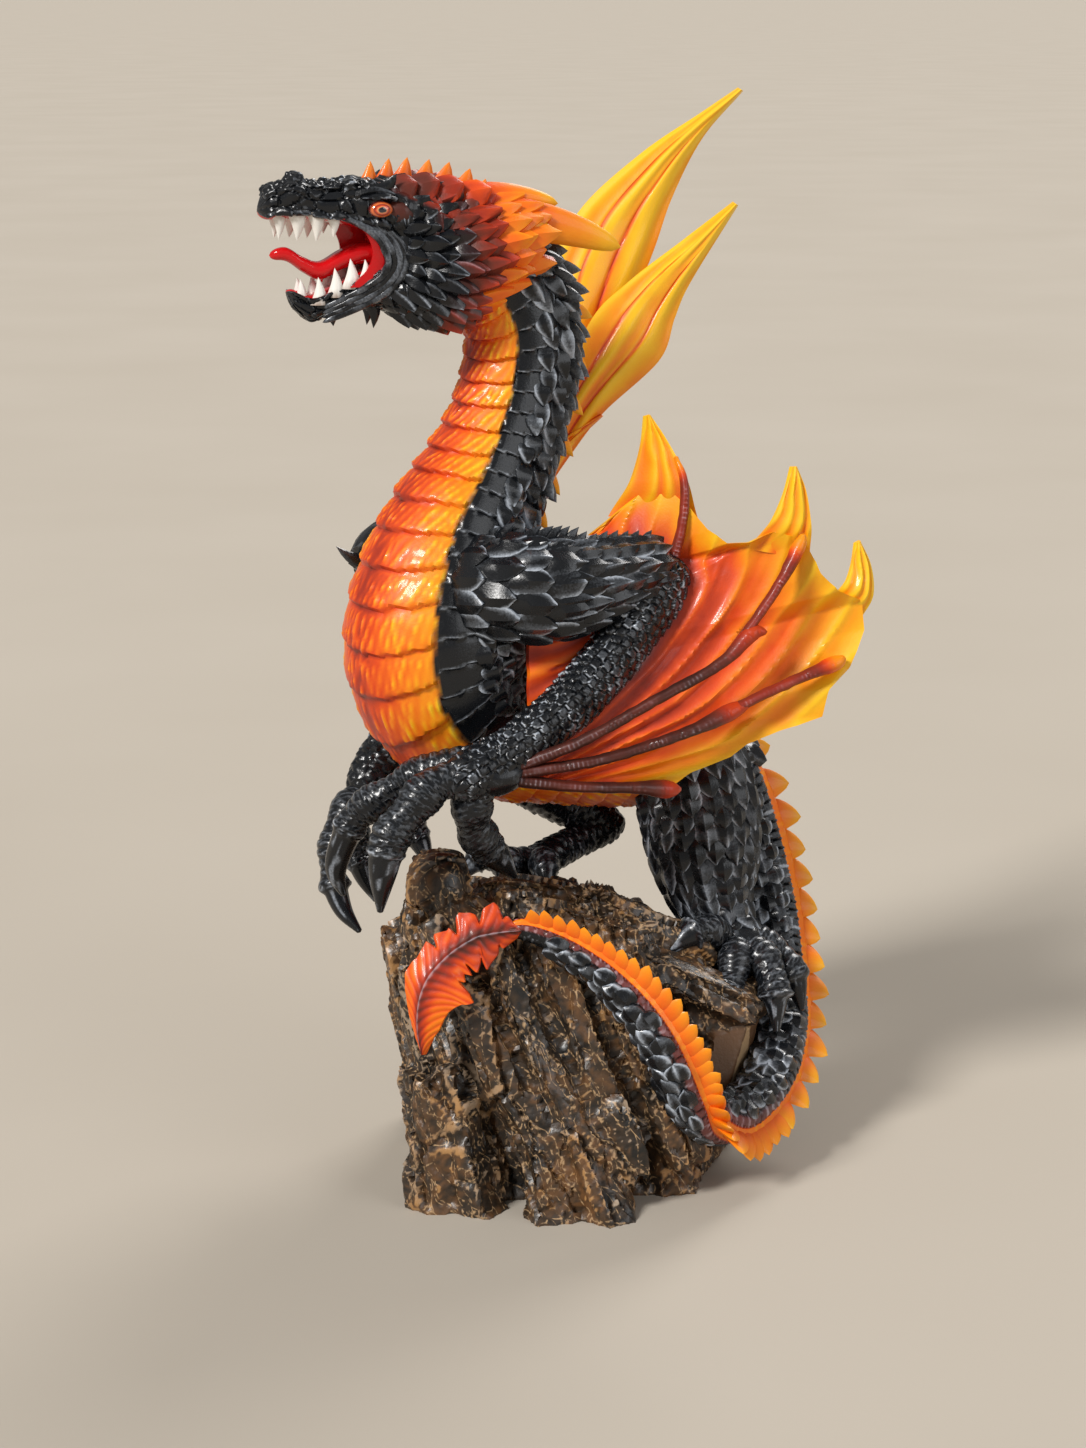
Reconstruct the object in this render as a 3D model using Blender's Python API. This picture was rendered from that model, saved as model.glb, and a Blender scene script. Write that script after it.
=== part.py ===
"""A cast and painted dragon figurine on its rock plinth, in metres.

A winged dragon with two hind legs grips the top of a rock with its wing hands. Its tail hangs
behind the near hind leg, curls forward under the rock's end, and climbs the rock's front to a
leaf-shaped tip. The dragon is one casting and the rock plinth is another.

The frame: origin at the middle of the plinth's flat underside, +Z up, the head facing -X.
The pose is written in units, POSE_HEIGHT of them to the figure's full height.
"""

import math
import random

import bmesh
import bpy
import numpy as np

# Driving sizes, in metres
FIGURE_HEIGHT = 0.2975
SEAT_GAP = 0.0003
WING_THICKNESS = 0.0026
WING_EDGE_THICKNESS = 0.0014
LEAF_THICKNESS = 0.0022
BELLY_PLATE_STEP = 0.0009
SPIKE_ROOT = 0.0020

POSE_HEIGHT = 297.5
UNIT = FIGURE_HEIGHT / POSE_HEIGHT

# The spine from the skull to the tail's end:
# x, y, z, half width, half depth, then the direction of the back (x, y, z), all in units
SPINE = (
    (-36, 5.5, 260.5, 12, 12, 0.1, 0.0, 1.0),
    (-25, 9, 256.5, 13, 13.5, 0.5, 0.2, 0.9),
    (-16, 12.5, 247.5, 13.3, 14, 0.75, 0.4, 0.5),
    (-12, 14.5, 236, 13.3, 13.8, 0.87, 0.48, 0.1),
    (-13, 15, 222, 13.5, 13.8, 0.87, 0.5, -0.05),
    (-17, 13.5, 208, 14.3, 14.2, 0.85, 0.5, -0.2),
    (-22.5, 10.5, 195, 16.3, 16, 0.83, 0.5, -0.25),
    (-29, 6.5, 182, 19, 18.5, 0.85, 0.5, -0.2),
    (-33.5, 3.5, 169, 21.5, 21, 0.85, 0.52, -0.1),
    (-35.5, 2.5, 155, 23.5, 23.5, 0.85, 0.52, 0.1),
    (-34, 5, 141, 23.5, 24, 0.75, 0.45, 0.45),
    (-27, 10.5, 130.5, 22.5, 23.5, 0.5, 0.3, 0.8),
    (-16, 18, 124, 21.5, 22.5, 0.2, 0.12, 1.0),
    (-3, 26, 120, 20.5, 21.5, 0.05, 0.03, 1.0),
    (11, 34, 116.5, 20.5, 21, 0.0, 0.0, 1.0),
    (24, 41, 113, 19.5, 20, 0.2, 0.1, 1.0),
    (36, 46, 107, 16.5, 16.5, 0.5, 0.3, 0.8),
    (46, 48.5, 97.5, 13.5, 13, 0.8, 0.4, 0.5),
    (53, 46.5, 86, 11.3, 11, 0.95, 0.2, 0.3),
    (58, 41.5, 72.5, 10, 10, 1.0, 0.1, 0.2),
    (61.5, 34, 58.5, 9.2, 9.2, 1.0, 0.1, 0.1),
    (63.5, 24, 45.5, 8.4, 8.4, 1.0, 0.0, 0.0),
    (64, 11.5, 34.5, 7.8, 7.8, 1.0, -0.1, -0.3),
    (61.5, -1.5, 26.5, 7.2, 7.2, 0.9, -0.3, -0.5),
    (56, -14, 21.5, 6.7, 6.7, 0.6, -0.6, -0.6),
    (48.5, -24.5, 19.8, 6.3, 6.3, 0.3, -0.7, -0.6),
    (41, -32.5, 22.5, 6, 6, 0.5, -0.8, -0.1),
    (35.5, -37.5, 30, 5.8, 5.8, 0.85, -0.5, 0.3),
    (31.5, -40, 39.5, 5.5, 5.5, 0.85, -0.35, 0.45),
    (27, -41, 49.5, 5.2, 5.2, 0.8, -0.3, 0.5),
    (20.5, -40.5, 59, 4.8, 4.8, 0.7, -0.3, 0.65),
    (12, -38.5, 67.5, 4.3, 4.3, 0.5, -0.35, 0.75),
    (2, -36.5, 74, 3.7, 3.7, 0.35, -0.35, 0.85),
    (-8, -35.5, 78, 3.0, 3.0, 0.2, -0.35, 0.9),
    (-15, -36.5, 79, 2.2, 2.2, 0.1, -0.35, 0.9),
)
SPINE_SIDES = 10
BELLY_PLATES = 14
BELLY_START = 0.075
BELLY_END = 0.50
BELLY_HALF_ANGLE = math.radians(62)
TAIL_RINGS = 22

# Limbs: x, y, z, half width, half depth along each one, in units
NEAR_UPPER_ARM = ((-26, -5, 167, 12, 13), (-15, -13, 168, 12, 13.5), (-2, -14.5, 168, 10.5, 13),
                  (10, -11, 169.5, 9, 10.5), (21, -5, 171.5, 7, 8), (28.5, 0, 172, 5.5, 6))
NEAR_FOREARM = ((30, 1.5, 175, 4.5, 5), (27.5, -1.5, 166, 6.5, 8), (17.5, -9.5, 153, 6.5, 8.5),
                (6, -17, 140.5, 6.2, 8), (-5, -22.5, 131.5, 5.8, 7), (-15, -26, 124.5, 5.8, 7),
                (-25, -28.5, 119, 6.5, 7.5), (-30, -28, 114, 4, 4.5))
FAR_UPPER_ARM = ((-51, 22, 163, 9, 11), (-47, 27, 167, 12, 13), (-36, 35, 167, 12, 13),
                 (-21, 44, 164, 9.5, 11), (-8, 50.5, 161, 7, 8), (-3, 52, 160, 5, 6))
FAR_FOREARM = ((-3, 52, 162, 4.5, 5), (-8, 50.5, 155, 6.5, 8), (-21, 45.5, 143, 6.5, 8),
               (-34, 39.5, 129, 6.3, 7.5), (-46, 33.5, 115, 6.2, 7.5), (-54, 28.5, 104, 6.2, 7),
               (-58, 25, 97, 4.5, 5))
NEAR_LEG = ((34, 33, 116, 13, 12), (38, 30, 105, 15.5, 13), (40.5, 27, 93, 15.5, 13),
            (42, 23.5, 82, 14.5, 12), (43.5, 20, 72, 11.5, 9.5), (46.5, 17, 65, 8, 7.5),
            (50, 14, 59.5, 6.5, 6), (52, 9, 57, 6.5, 4.5))
FAR_THIGH = ((20, 56, 111, 12, 13), (8, 57, 107, 12.5, 13), (-4, 53, 104, 11, 11.5),
             (-14, 48, 102, 8.5, 9), (-19, 45, 100, 5, 5))
FAR_SHIN = ((-19, 45, 102, 6, 7), (-10, 44.5, 100, 7.5, 8.5), (2, 44.5, 93, 7, 8),
            (12, 44.5, 86.5, 5.5, 5.5), (16, 44.5, 83.5, 4, 4))
FAR_HOCK = ((19.5, 45, 86.5, 2, 2), (14, 44, 84.5, 4.6, 4.6), (4, 38.5, 81, 4.6, 4.6),
            (-7, 30, 77.5, 4.8, 4.8), (-11, 27, 77, 4, 4))
LIMB_SIDES = 8

# Fingers and toes: x, y, z, radius from root to claw tip, in units
NEAR_FINGERS = (
    ((-22, -26, 121, 5), (-32, -25, 121.5, 4.4), (-45, -23, 114.5, 4.2), (-55, -21, 107, 4.2),
     (-59.5, -20, 99, 3.6), (-62, -18.5, 90, 2.8), (-60, -17, 82, 0.7)),
    ((-25, -29, 119, 5.5), (-33.5, -31, 118, 5), (-41, -34, 111, 4.8), (-46, -36, 104, 4.6),
     (-48, -37, 95, 3.8), (-49, -35.5, 83, 0.7)),
    ((-21, -27, 120, 5.5), (-24, -27, 111.5, 5), (-23.5, -24, 104, 4.8), (-21, -20, 98, 4.6),
     (-17, -16, 92.5, 3.6), (-12.5, -13, 86, 0.7)),
)
FAR_FINGERS = (
    ((-56, 27, 99, 5), (-61.5, 21, 95, 4.6), (-64.6, 16.5, 87, 4.2), (-65, 13, 78, 3.6),
     (-62.3, 9, 70, 2.6), (-57, 4, 64.5, 0.7)),
    ((-55, 29, 98, 4.6), (-59, 33.5, 92, 4.2), (-60, 33, 83, 3.8), (-57.5, 30, 74, 3),
     (-53.5, 25, 67, 0.7)),
    ((-52, 28, 98, 4.6), (-46, 31, 92, 4), (-41, 30, 84, 3.2), (-38, 26, 77, 0.7)),
)
NEAR_TOES = (
    ((50, 12, 60, 4.5), (42, 5, 64.5, 4.2), (36.5, 1, 64.5, 3.8), (30.5, -2.5, 60.5, 0.7)),
    ((50, 10, 59, 5), (50, 3, 57, 4.5), (48.5, -2, 51.5, 4), (43.7, -6, 44, 0.7)),
    ((53, 10, 58.5, 5), (58.5, 4, 55.5, 4.6), (61, -2, 49, 4), (61.5, -7, 38, 0.7)),
    ((54, 14, 59, 5), (62, 11, 56, 4.4), (67, 7, 50, 3.8), (69.5, 3, 41, 0.7)),
)
FAR_TOES = (
    ((-9, 28, 77, 4.2), (-14, 23, 80, 4), (-16, 17.5, 79.5, 3.4), (-15, 12.5, 74, 0.7)),
    ((-7, 30, 77, 4.2), (-5, 22, 80, 3.8), (-4, 16, 78.5, 3.2), (-3.5, 11, 73, 0.7)),
    ((-11, 30, 77, 4.2), (-19, 31, 79, 3.8), (-25, 30, 77.5, 3.2), (-30, 28, 72, 0.7)),
)
DIGIT_SIDES = 5

# The head's own frame: along to the snout, left towards the viewer, up
HEAD_ORIGIN = np.array((-21.5, 5.5, 258.0))
HEAD_ALONG = np.array((-0.963, -0.27, 0.0))
HEAD_LEFT = np.array((0.27, -0.963, 0.0))
UP = np.array((0.0, 0.0, 1.0))
# along, up, half width, half height
SKULL = ((-8, 0.5, 12, 13), (6, 4, 13, 14), (16, 7.5, 12.5, 12), (24, 10.5, 11.5, 9.5),
         (30, 12, 10.8, 7.6), (37, 12.2, 8.6, 5.6), (45, 12.4, 7.4, 4.4), (51, 13.8, 7.4, 5.2),
         (57, 13, 5.8, 4.4), (61, 10.8, 2.6, 2.6))
JAW = ((1, -6, 11, 13), (9, -7.5, 11, 12.5), (17, -8, 10.5, 11), (25, -8, 9.5, 8.5), (32.5, -9.6, 7.6, 5),
       (41, -12.2, 6.2, 3.4), (47, -14.4, 5.2, 3.2), (51, -12.8, 3.8, 2.7), (53.8, -10.6, 1.6, 1.3))
TONGUE = ((22, -1.8, 5, 2.6), (32, -0.4, 4.2, 2.2), (38.5, -1.8, 3.6, 1.9), (44.5, -4.6, 3, 1.8),
          (49, -3, 2.4, 1.6), (53, 0.2, 1.8, 1.4), (56.5, 0, 0.9, 0.9))
# Teeth of one side: along, left, up of the root, length, radius
UPPER_TEETH = ((56, 3.4, 10, 6.5, 1.2), (51.5, 5.4, 9.8, 6.5, 1.5), (46.5, 6.2, 9.2, 6.2, 1.3),
               (42.5, 6.8, 8.6, 4.4, 1.1))
LOWER_TEETH = ((50.2, 2.3, -11.6, 4.2, 1.0), (45.8, 4.6, -12.2, 5, 1.2), (40.5, 5.4, -9.8, 4.6, 1.2),
               (36, 6.2, -7, 5, 1.3))
# The crest along the middle of the head and nape: tip along, tip up, foot along, foot up, length
CREST = ((32, 21.5, 33.5, 17, 4.6), (27, 22.2, 29.5, 18, 4.8), (22, 22.4, 25, 18, 5.2),
         (16, 21.8, 19.5, 17.5, 5.6), (10.5, 21, 14.5, 16.5, 5.8), (4.8, 19.2, 9, 15.2, 6),
         (0.5, 16.4, 4, 12.5, 5.6))
# Long horn-like blades behind the head: root and tip (along, left, up), width, thickness
HORNS = (((2, 4, 8), (-31, 6, 0), 6.0, 3.4), ((2, -4, 8), (-30, -8, 1), 6.0, 3.4),
         ((4, 0, 8.5), (-15, 0, 7), 4.4, 2.6))
# Ruff of lances behind the jaw: rows of (root along, root up, tip along, tip up, left at the root)
RUFF = ((20, 12, 4, 12.5, 11), (14, 6, -3, 5, 12), (17, 0, 0, -4, 11.5), (13, -5, -4, -11.5, 10.5),
        (20, -9, 6, -17, 9.5), (26, -13, 14, -21, 7.5), (4, -1, -11, -6, 12))
RUFF_WIDTH = 3.6
RUFF_THICKNESS = 2.4
EYE_PLACE = (30.5, 9.2, 11.4)
EYE_RADIUS = 2.6
# Lumps on the face: place (along, left, up), radius
NOSTRIL = (51.0, 2.8, 18.2, 2.2)
BROW = (28.5, 6.6, 16.6, 3.2)
CHIN_SPUR = ((43.5, 0, -15), (40, 0, -19.8), 2.4)
THROAT_SPUR = ((32, 3, -12), (30, 3.2, -20.5), 2.8)

# The near wing: where each line starts on the arm, and where it ends on the outer edge
NEAR_WING_ROOT = ((-20, -27.5, 117), (-16, -25, 122), (-5, -21.5, 132), (6, -16, 141),
                  (17, -8.5, 153), (26, -1, 165), (29, 3, 171), (24, 4, 172), (16, 4, 172),
                  (8, 4, 172), (1, 4, 172))
NEAR_WING_EDGE = (
    (0.00, 28.5, -17, 112), (0.04, 35.5, -13, 116.5), (0.08, 46.5, -11.5, 120.5),
    (0.12, 51, -11.5, 124), (0.17, 60, -10, 127.5), (0.23, 72, -8, 131), (0.27, 73.5, -7, 138.5),
    (0.32, 79.5, -4, 144), (0.38, 83.5, -1, 154), (0.44, 83, 0, 162), (0.50, 76, -4, 165.5),
    (0.56, 71, -5, 170.5), (0.61, 66, -4, 180), (0.67, 58, -4, 182), (0.73, 51, -4, 179),
    (0.79, 45.5, -3, 178.5), (0.85, 40, 0, 182), (0.89, 35, 4, 187.5), (0.93, 29, 9, 192),
    (0.96, 22, 12, 190), (0.98, 16, 13, 184.5), (1.00, 8, 12.5, 178),
)
# The pointed hooks on the near wing's edge, each by its inner and outer edge
NEAR_HOOKS = (
    (((14, 13, 183), (19, 13.5, 192), (22, 14, 202), (23, 14.5, 211)),
     ((39, 2, 183), (34, 7, 196), (29, 11, 205), (24.5, 14, 211.5))),
    (((52, -4, 177), (57, -3.5, 184), (60.5, -3, 192), (62.5, -1.5, 199.5)),
     ((69, -5, 174), (68, -4, 184), (66.5, -3, 193), (64, -1, 199.5))),
    (((75, -3, 163), (78, -1, 166.5), (80, 1.5, 171.5), (81, 3.5, 177.5)),
     ((83, -1, 155), (86, 1, 163), (85.5, 3, 171), (82.4, 4.5, 178))),
)
NEAR_HOOK_ROWS = 6
NEAR_WING_FACING = (0.35, -1.0, 0.1)
ELBOW_WEB = (((-9, -9, 160), (6, -8, 162), (22, -3, 168)), ((-9, -16, 136), (6, -12, 144), (22, -4, 160)))
NEAR_WING_STEPS = 4
NEAR_WING_SAG = 4.0
NEAR_RIBS = (
    ((-14, -28, 121.5, 2.2), (5, -28.5, 129, 1.9), (25, -25, 139.5, 1.8), (43, -19.5, 148.5, 1.9),
     (51.5, -16, 156, 2.6), (56, -15.5, 156.5, 0.8)),
    ((45, -18.5, 150, 1.6), (53, -14.5, 160, 1.6), (60, -10.5, 170, 1.8), (64.5, -7.5, 178, 2.3),
     (66, -6.5, 182, 0.8)),
    ((-14, -28, 120, 2.2), (10, -27, 123.5, 1.8), (34, -22, 130, 1.9), (46, -17, 134.5, 2.8),
     (52, -14.5, 136.5, 0.8)),
    ((44, -17.5, 134, 1.6), (56, -14, 139, 1.7), (68, -10, 143.5, 1.9), (75.5, -7.5, 146, 2.6),
     (78, -6, 147.5, 0.8)),
    ((-14, -28, 118.5, 2.2), (4, -26.5, 116, 1.8), (20, -22, 114.5, 2), (29, -18, 113, 3),
     (33, -16, 112.5, 0.8)),
    ((29, 2, 168, 2), (32.5, 5, 182, 1.6), (33.5, 8.5, 194, 1.2), (31, 11, 201, 0.7)),
)

# The far wing: two raised blades and a low flap, each by its left and right edge
FAR_BLADES = (
    (((-17, 46, 170), (-11, 51, 190), (-7, 58, 215), (-3, 68, 245), (6, 76, 263), (24, 82, 279),
      (41, 87, 290), (52.5, 90, 297.5)),
     ((-10, 49, 170), (-2, 53, 190), (9, 60, 210), (26, 76, 247), (33, 81, 266), (42, 86, 283),
      (54, 90, 296.5)), 2.5),
    (((-18, 44, 169), (-11, 46, 184), (-4, 51, 205), (8.5, 57, 232), (19.5, 62, 243), (36, 68, 255),
      (50.5, 73, 265.5)),
     ((-10, 46, 169), (-4, 47, 184), (4, 50, 196), (13, 53, 207), (29, 60, 221), (33.5, 63, 233),
      (38, 65, 243), (52, 73, 264.5)), 2.0),
    (((-21, 42, 164), (-16, 42.5, 176), (-10, 44, 188), (0, 49, 201), (11.5, 53, 206.5)),
     ((-13, 44, 164), (-10, 44.5, 178), (-4.5, 46, 187), (2.5, 49, 196.5), (12.5, 53.5, 205.5)), 1.0),
)
FAR_BLADE_ROWS = 8
FAR_BLADE_COLUMNS = 3
FAR_FAN_ROOT = ((-50, 33, 110), (-38, 39.5, 124), (-24, 46.5, 140), (-10, 52, 153), (-3, 53, 160))
FAR_FAN_EDGE = ((0.00, -36, 50, 104), (0.12, -27, 61, 107), (0.22, -20, 66, 116), (0.34, -8, 76, 120),
                (0.46, 2, 84, 128), (0.56, 3, 78, 139), (0.68, 10, 83, 149), (0.82, 20, 86, 163),
                (0.92, 12, 74, 165), (1.00, 3, 61, 165))
FAR_FAN_STEPS = 4
FAR_FAN_FACING = (0.6, -0.8, 0.3)

# The leaf at the tail's end: midrib x, y, z, then width to the upper and to the lower side
LEAF = (
    (-10, -37, 78.5, 2.0, 2.0), (-15, -38.5, 78.5, 5.0, 8.5), (-20, -39.5, 78, 9.5, 6.0),
    (-22, -40, 77.5, 5.0, 8.5), (-26, -41, 75.5, 9.0, 6.0), (-29, -42, 73.5, 6.0, 8.0),
    (-32.5, -43.5, 70.5, 13.5, 6.5), (-35.5, -44.5, 66.5, 11.0, 7.0), (-37.5, -45.5, 61, 8.0, 4.0),
    (-38, -46.2, 54, 5.5, 1.8), (-37, -46.5, 46.5, 0.5, 0.5),
)
LEAF_OUT = np.array((-0.25, -0.9, 0.3))
LEAF_CUP = 1.6

# The plinth's blocks: foot centre x, y, foot length and depth, top centre x, y, z,
# top length and depth, heading in degrees, all lengths in units
ROCK_BLOCKS = (
    (-11, -3, 66, 78, -27, -4, 78, 48, 58, 5),
    (16, 2, 60, 82, 12, -1, 68, 44, 54, -8),
    (25, 4, 44, 56, 45, 4, 52, 37, 30, 8),
    (-26, -12, 34, 46, -31, -16, 84, 30, 30, 25),
    (-22, 28, 46, 36, -26, 22, 62, 32, 24, -14),
    (16, 30, 50, 36, 20, 22, 50, 34, 24, 10),
    (-36, 4, 16, 40, -46, 2, 66, 14, 28, 4),
    (-34.5, -22, 18, 28, -40, -22, 34, 14, 20, 20),
    (-33, -39, 22, 24, -37, -38, 37, 8, 9, 15),
    (-21, -43, 18, 20, -30, -38, 40, 9, 10, -10),
    (-2, -47, 20, 20, -8, -40, 34, 9, 11, 12),
    (16, -49, 18, 18, 1, -39, 33, 11, 13, -28),
    (31, -25, 24, 26, 26, -26, 14, 18, 20, 20),
)
ROCK_BLOCK_SIDES = 6
ROCK_JITTER = 0.16
ROCK_KNOB = (-33, -16, 76, 23, 20, -33, -15, 93, 12, 12, 30)
# Slanting slabs: upper end, lower end, half width, half depth
ROCK_SLABS = (
    ((-36, -31, 80), (0, -46, 4), 6.5, 6.5),
    ((-23, -32, 80), (13, -46, 6), 7.0, 6.0),
    ((-8, -28, 78), (21, -42, 8), 7.0, 6.5),
    ((5, -25, 74), (34, -34, 10), 6.5, 6.5),
    ((18, -21, 68), (38, -26, 8), 6.5, 6.5),
    ((-24, -1, 78), (14, 4, 73), 7.0, 8.5),
    ((6, 2, 73), (42, 6, 54), 8.0, 8.5),
    ((-18, -14, 80), (22, -12, 66), 6.0, 7.0),
    ((24, -10, 60), (56, -6, 44), 7.0, 8.0),
)
ROCK_SLAB_SIDES = 5
# A flat break on the right-hand end: centre x, y, low and high z, length, depth, heading
CHIP_CUT = (60.5, -19.5, 12, 40, 44, 22, 38)


def vec(values):
    return np.array(values, dtype=float)


def unit_vector(v):
    return v / max(float(np.linalg.norm(v)), 1e-12)


def along_curve(rows, fractions):
    """Rows read at fractions of the length of a smooth curve through the given rows."""
    rows = np.array(rows, dtype=float)
    ends = np.vstack((2 * rows[0] - rows[1], rows, 2 * rows[-1] - rows[-2]))
    steps = np.linalg.norm(np.diff(rows[:, :3], axis=0), axis=1)
    reach = np.concatenate(((0.0,), np.cumsum(steps))) / steps.sum()
    result = []
    for fraction in fractions:
        i = int(np.clip(np.searchsorted(reach, fraction, side="right") - 1, 0, len(rows) - 2))
        t = (fraction - reach[i]) / (reach[i + 1] - reach[i])
        a, b, c, d = ends[i:i + 4]
        result.append(0.5 * (2 * b + (c - a) * t + (2 * a - 5 * b + 4 * c - d) * t * t
                             + (3 * b - a - 3 * c + d) * t ** 3))
    return np.array(result)


def tangents_of(points):
    ahead = np.vstack((points[1:], points[-1:]))
    behind = np.vstack((points[:1], points[:-1]))
    return np.array([unit_vector(step) for step in ahead - behind])


def loft(rings):
    """A closed skin over rings of equal count, with a fan at each end."""
    rings = np.array(rings)
    count, sides = rings.shape[:2]
    points = [tuple(p) for ring in rings for p in ring]
    points += [tuple(rings[0].mean(axis=0)), tuple(rings[-1].mean(axis=0))]
    first, last = count * sides, count * sides + 1
    faces = []
    for i in range(count - 1):
        for j in range(sides):
            k = (j + 1) % sides
            faces.append((i * sides + j, i * sides + k, (i + 1) * sides + k, (i + 1) * sides + j))
    for j in range(sides):
        k = (j + 1) % sides
        faces.append((first, k, j))
        faces.append((last, (count - 1) * sides + j, (count - 1) * sides + k))
    return points, faces


def ring_points(centre, side, back, half_width, half_depth, sides, offset=None):
    ring = []
    for j in range(sides):
        angle = 2 * math.pi * j / sides
        grow = offset(angle) if offset else 0.0
        ring.append(centre + side * math.sin(angle) * (half_width + grow)
                    + back * math.cos(angle) * (half_depth + grow))
    return ring


def limb(rows, sides=LIMB_SIDES, rings=6, hint=(0, 0, 1)):
    """A limb through rows of x, y, z, half width, half depth."""
    sampled = along_curve(rows, np.linspace(0, 1, rings))
    centres = sampled[:, :3]
    result = []
    back = vec(hint)
    for centre, tangent, row in zip(centres, tangents_of(centres), sampled):
        back = unit_vector(back - tangent * np.dot(back, tangent))
        side = np.cross(back, tangent)
        result.append(ring_points(centre, side, back, max(row[3], 0.4), max(row[4], 0.4), sides))
    return loft(result)


def digit(rows, sides=DIGIT_SIDES):
    doubled = [row + (row[3],) for row in rows]
    return limb(doubled, sides, rings=len(rows))


def spike(root, tip, spread, width, thickness, sides=4):
    """A pointed blade: spread is the direction of its long foot."""
    axis = unit_vector(tip - root)
    spread = unit_vector(spread - axis * np.dot(spread, axis))
    side = np.cross(axis, spread)
    foot = ring_points(root, side, spread, thickness / 2, width / 2, sides)
    points = [tuple(p) for p in foot] + [tuple(tip), tuple(root)]
    faces = [(j, (j + 1) % sides, sides) for j in range(sides)]
    faces += [((j + 1) % sides, j, sides + 1) for j in range(sides)]
    return points, faces


def lance(root, tip, spread, width, thickness):
    """A blade that widens from its root before it tapers to its point."""
    axis = unit_vector(tip - root)
    spread = unit_vector(spread - axis * np.dot(spread, axis))
    side = np.cross(axis, spread)
    rings = []
    for share, grow in ((0.0, 0.75), (0.45, 1.0), (1.0, 0.1)):
        centre = root + (tip - root) * share
        rings.append(ring_points(centre, side, spread, thickness / 2 * grow, width / 2 * grow, 4))
    return loft(rings)


def ball(centre, radius):
    rings = []
    for latitude in (-40, 40):
        angle = math.radians(latitude)
        middle = centre + UP * radius * math.sin(angle)
        reach = radius * math.cos(angle)
        rings.append(ring_points(middle, vec((0, 1, 0)), vec((1, 0, 0)), reach, reach, 6))
    points, faces = loft(rings)
    points[-2] = tuple(centre - UP * radius)
    points[-1] = tuple(centre + UP * radius)
    return points, faces


def sheet(grid, facing, thickness, edge_thickness):
    """A closed skin over a grid of points, thickened along its facing, thinner at its last column."""
    grid = np.array(grid)
    rows, columns = grid.shape[:2]
    share = np.linspace(0, 1, columns)[None, :, None]
    half = unit_vector(vec(facing)) * (thickness + (edge_thickness - thickness) * share) / 2
    points = [tuple(p) for p in (grid + half).reshape(-1, 3)]
    points += [tuple(p) for p in (grid - half).reshape(-1, 3)]
    size = rows * columns
    faces = []
    for i in range(rows - 1):
        for j in range(columns - 1):
            a, b = i * columns + j, i * columns + j + 1
            c, d = (i + 1) * columns + j + 1, (i + 1) * columns + j
            faces += [(a, d, c, b), (a + size, b + size, c + size, d + size)]
    border = [i * columns for i in range(rows)]
    border += [(rows - 1) * columns + j for j in range(1, columns)]
    border += [i * columns + columns - 1 for i in range(rows - 2, -1, -1)]
    border += [j for j in range(columns - 2, 0, -1)]
    for a, b in zip(border, border[1:] + border[:1]):
        faces.append((a, a + size, b + size, b))
    return points, faces


def ribbon(left, right, rows, columns, facing, bulge, thickness):
    """A sheet between two edge curves, bowed towards its facing."""
    fractions = np.linspace(0, 1, rows)
    out = unit_vector(vec(facing))
    grid = []
    for a, b in zip(along_curve(left, fractions), along_curve(right, fractions)):
        line = []
        for share in np.linspace(0, 1, columns):
            line.append(a + (b - a) * share + out * bulge * math.sin(math.pi * share))
        grid.append(line)
    return sheet(grid, facing, thickness, thickness)


def head_point(along, left, up):
    return HEAD_ORIGIN + HEAD_ALONG * along + HEAD_LEFT * left + UP * up


def spine_rings():
    """Rings down the neck, chest and belly, stepped by the belly plates, then down the tail."""
    fractions, steps = [0.0, 0.03], [0.0, 0.0]
    for i in range(BELLY_PLATES):
        start = BELLY_START + (BELLY_END - BELLY_START) * i / BELLY_PLATES
        end = BELLY_START + (BELLY_END - BELLY_START) * (i + 0.86) / BELLY_PLATES
        fractions += [start, end]
        steps += [0.0, BELLY_PLATE_STEP / UNIT]
    tail = np.linspace(BELLY_END, 1.0, TAIL_RINGS)
    fractions += list(tail)
    steps += [0.0] * len(tail)
    rows = along_curve(SPINE, fractions)
    rings = []
    for row, tangent, step in zip(rows, tangents_of(rows[:, :3]), steps):
        back = unit_vector(row[5:8] - tangent * np.dot(row[5:8], tangent))
        side = np.cross(back, tangent)

        def plate(angle, step=step):
            return step if abs(angle - math.pi) < BELLY_HALF_ANGLE else 0.0

        rings.append(ring_points(row[:3], side, back, row[3], row[4], SPINE_SIDES, plate))
    return rings


def back_spikes():
    """The row of spikes down the back: tall on the nape and tail root, small up the rock."""
    runs = ((0.085, 0.235, 7, 7.0, 8.0, 3.4), (0.475, 0.76, 14, 5.0, 9.6, 3.6),
            (0.775, 0.985, 14, 4.2, 7.0, 2.4))
    result = []
    for start, end, count, height, width, thickness in runs:
        for fraction in np.linspace(start, end, count):
            row = along_curve(SPINE, (fraction, min(fraction + 0.004, 1.0)))
            tangent = unit_vector(row[1, :3] - row[0, :3])
            back = unit_vector(row[0, 5:8] - tangent * np.dot(row[0, 5:8], tangent))
            shrink = 1.0 - 0.45 * max(0.0, (fraction - 0.775) / 0.21)
            root = row[0, :3] + back * (row[0, 4] - SPIKE_ROOT / UNIT)
            tip = root + back * (height * shrink + SPIKE_ROOT / UNIT) + tangent * height * 0.35
            result.append(spike(root, tip, tangent, width, thickness * shrink))
    return result


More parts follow.
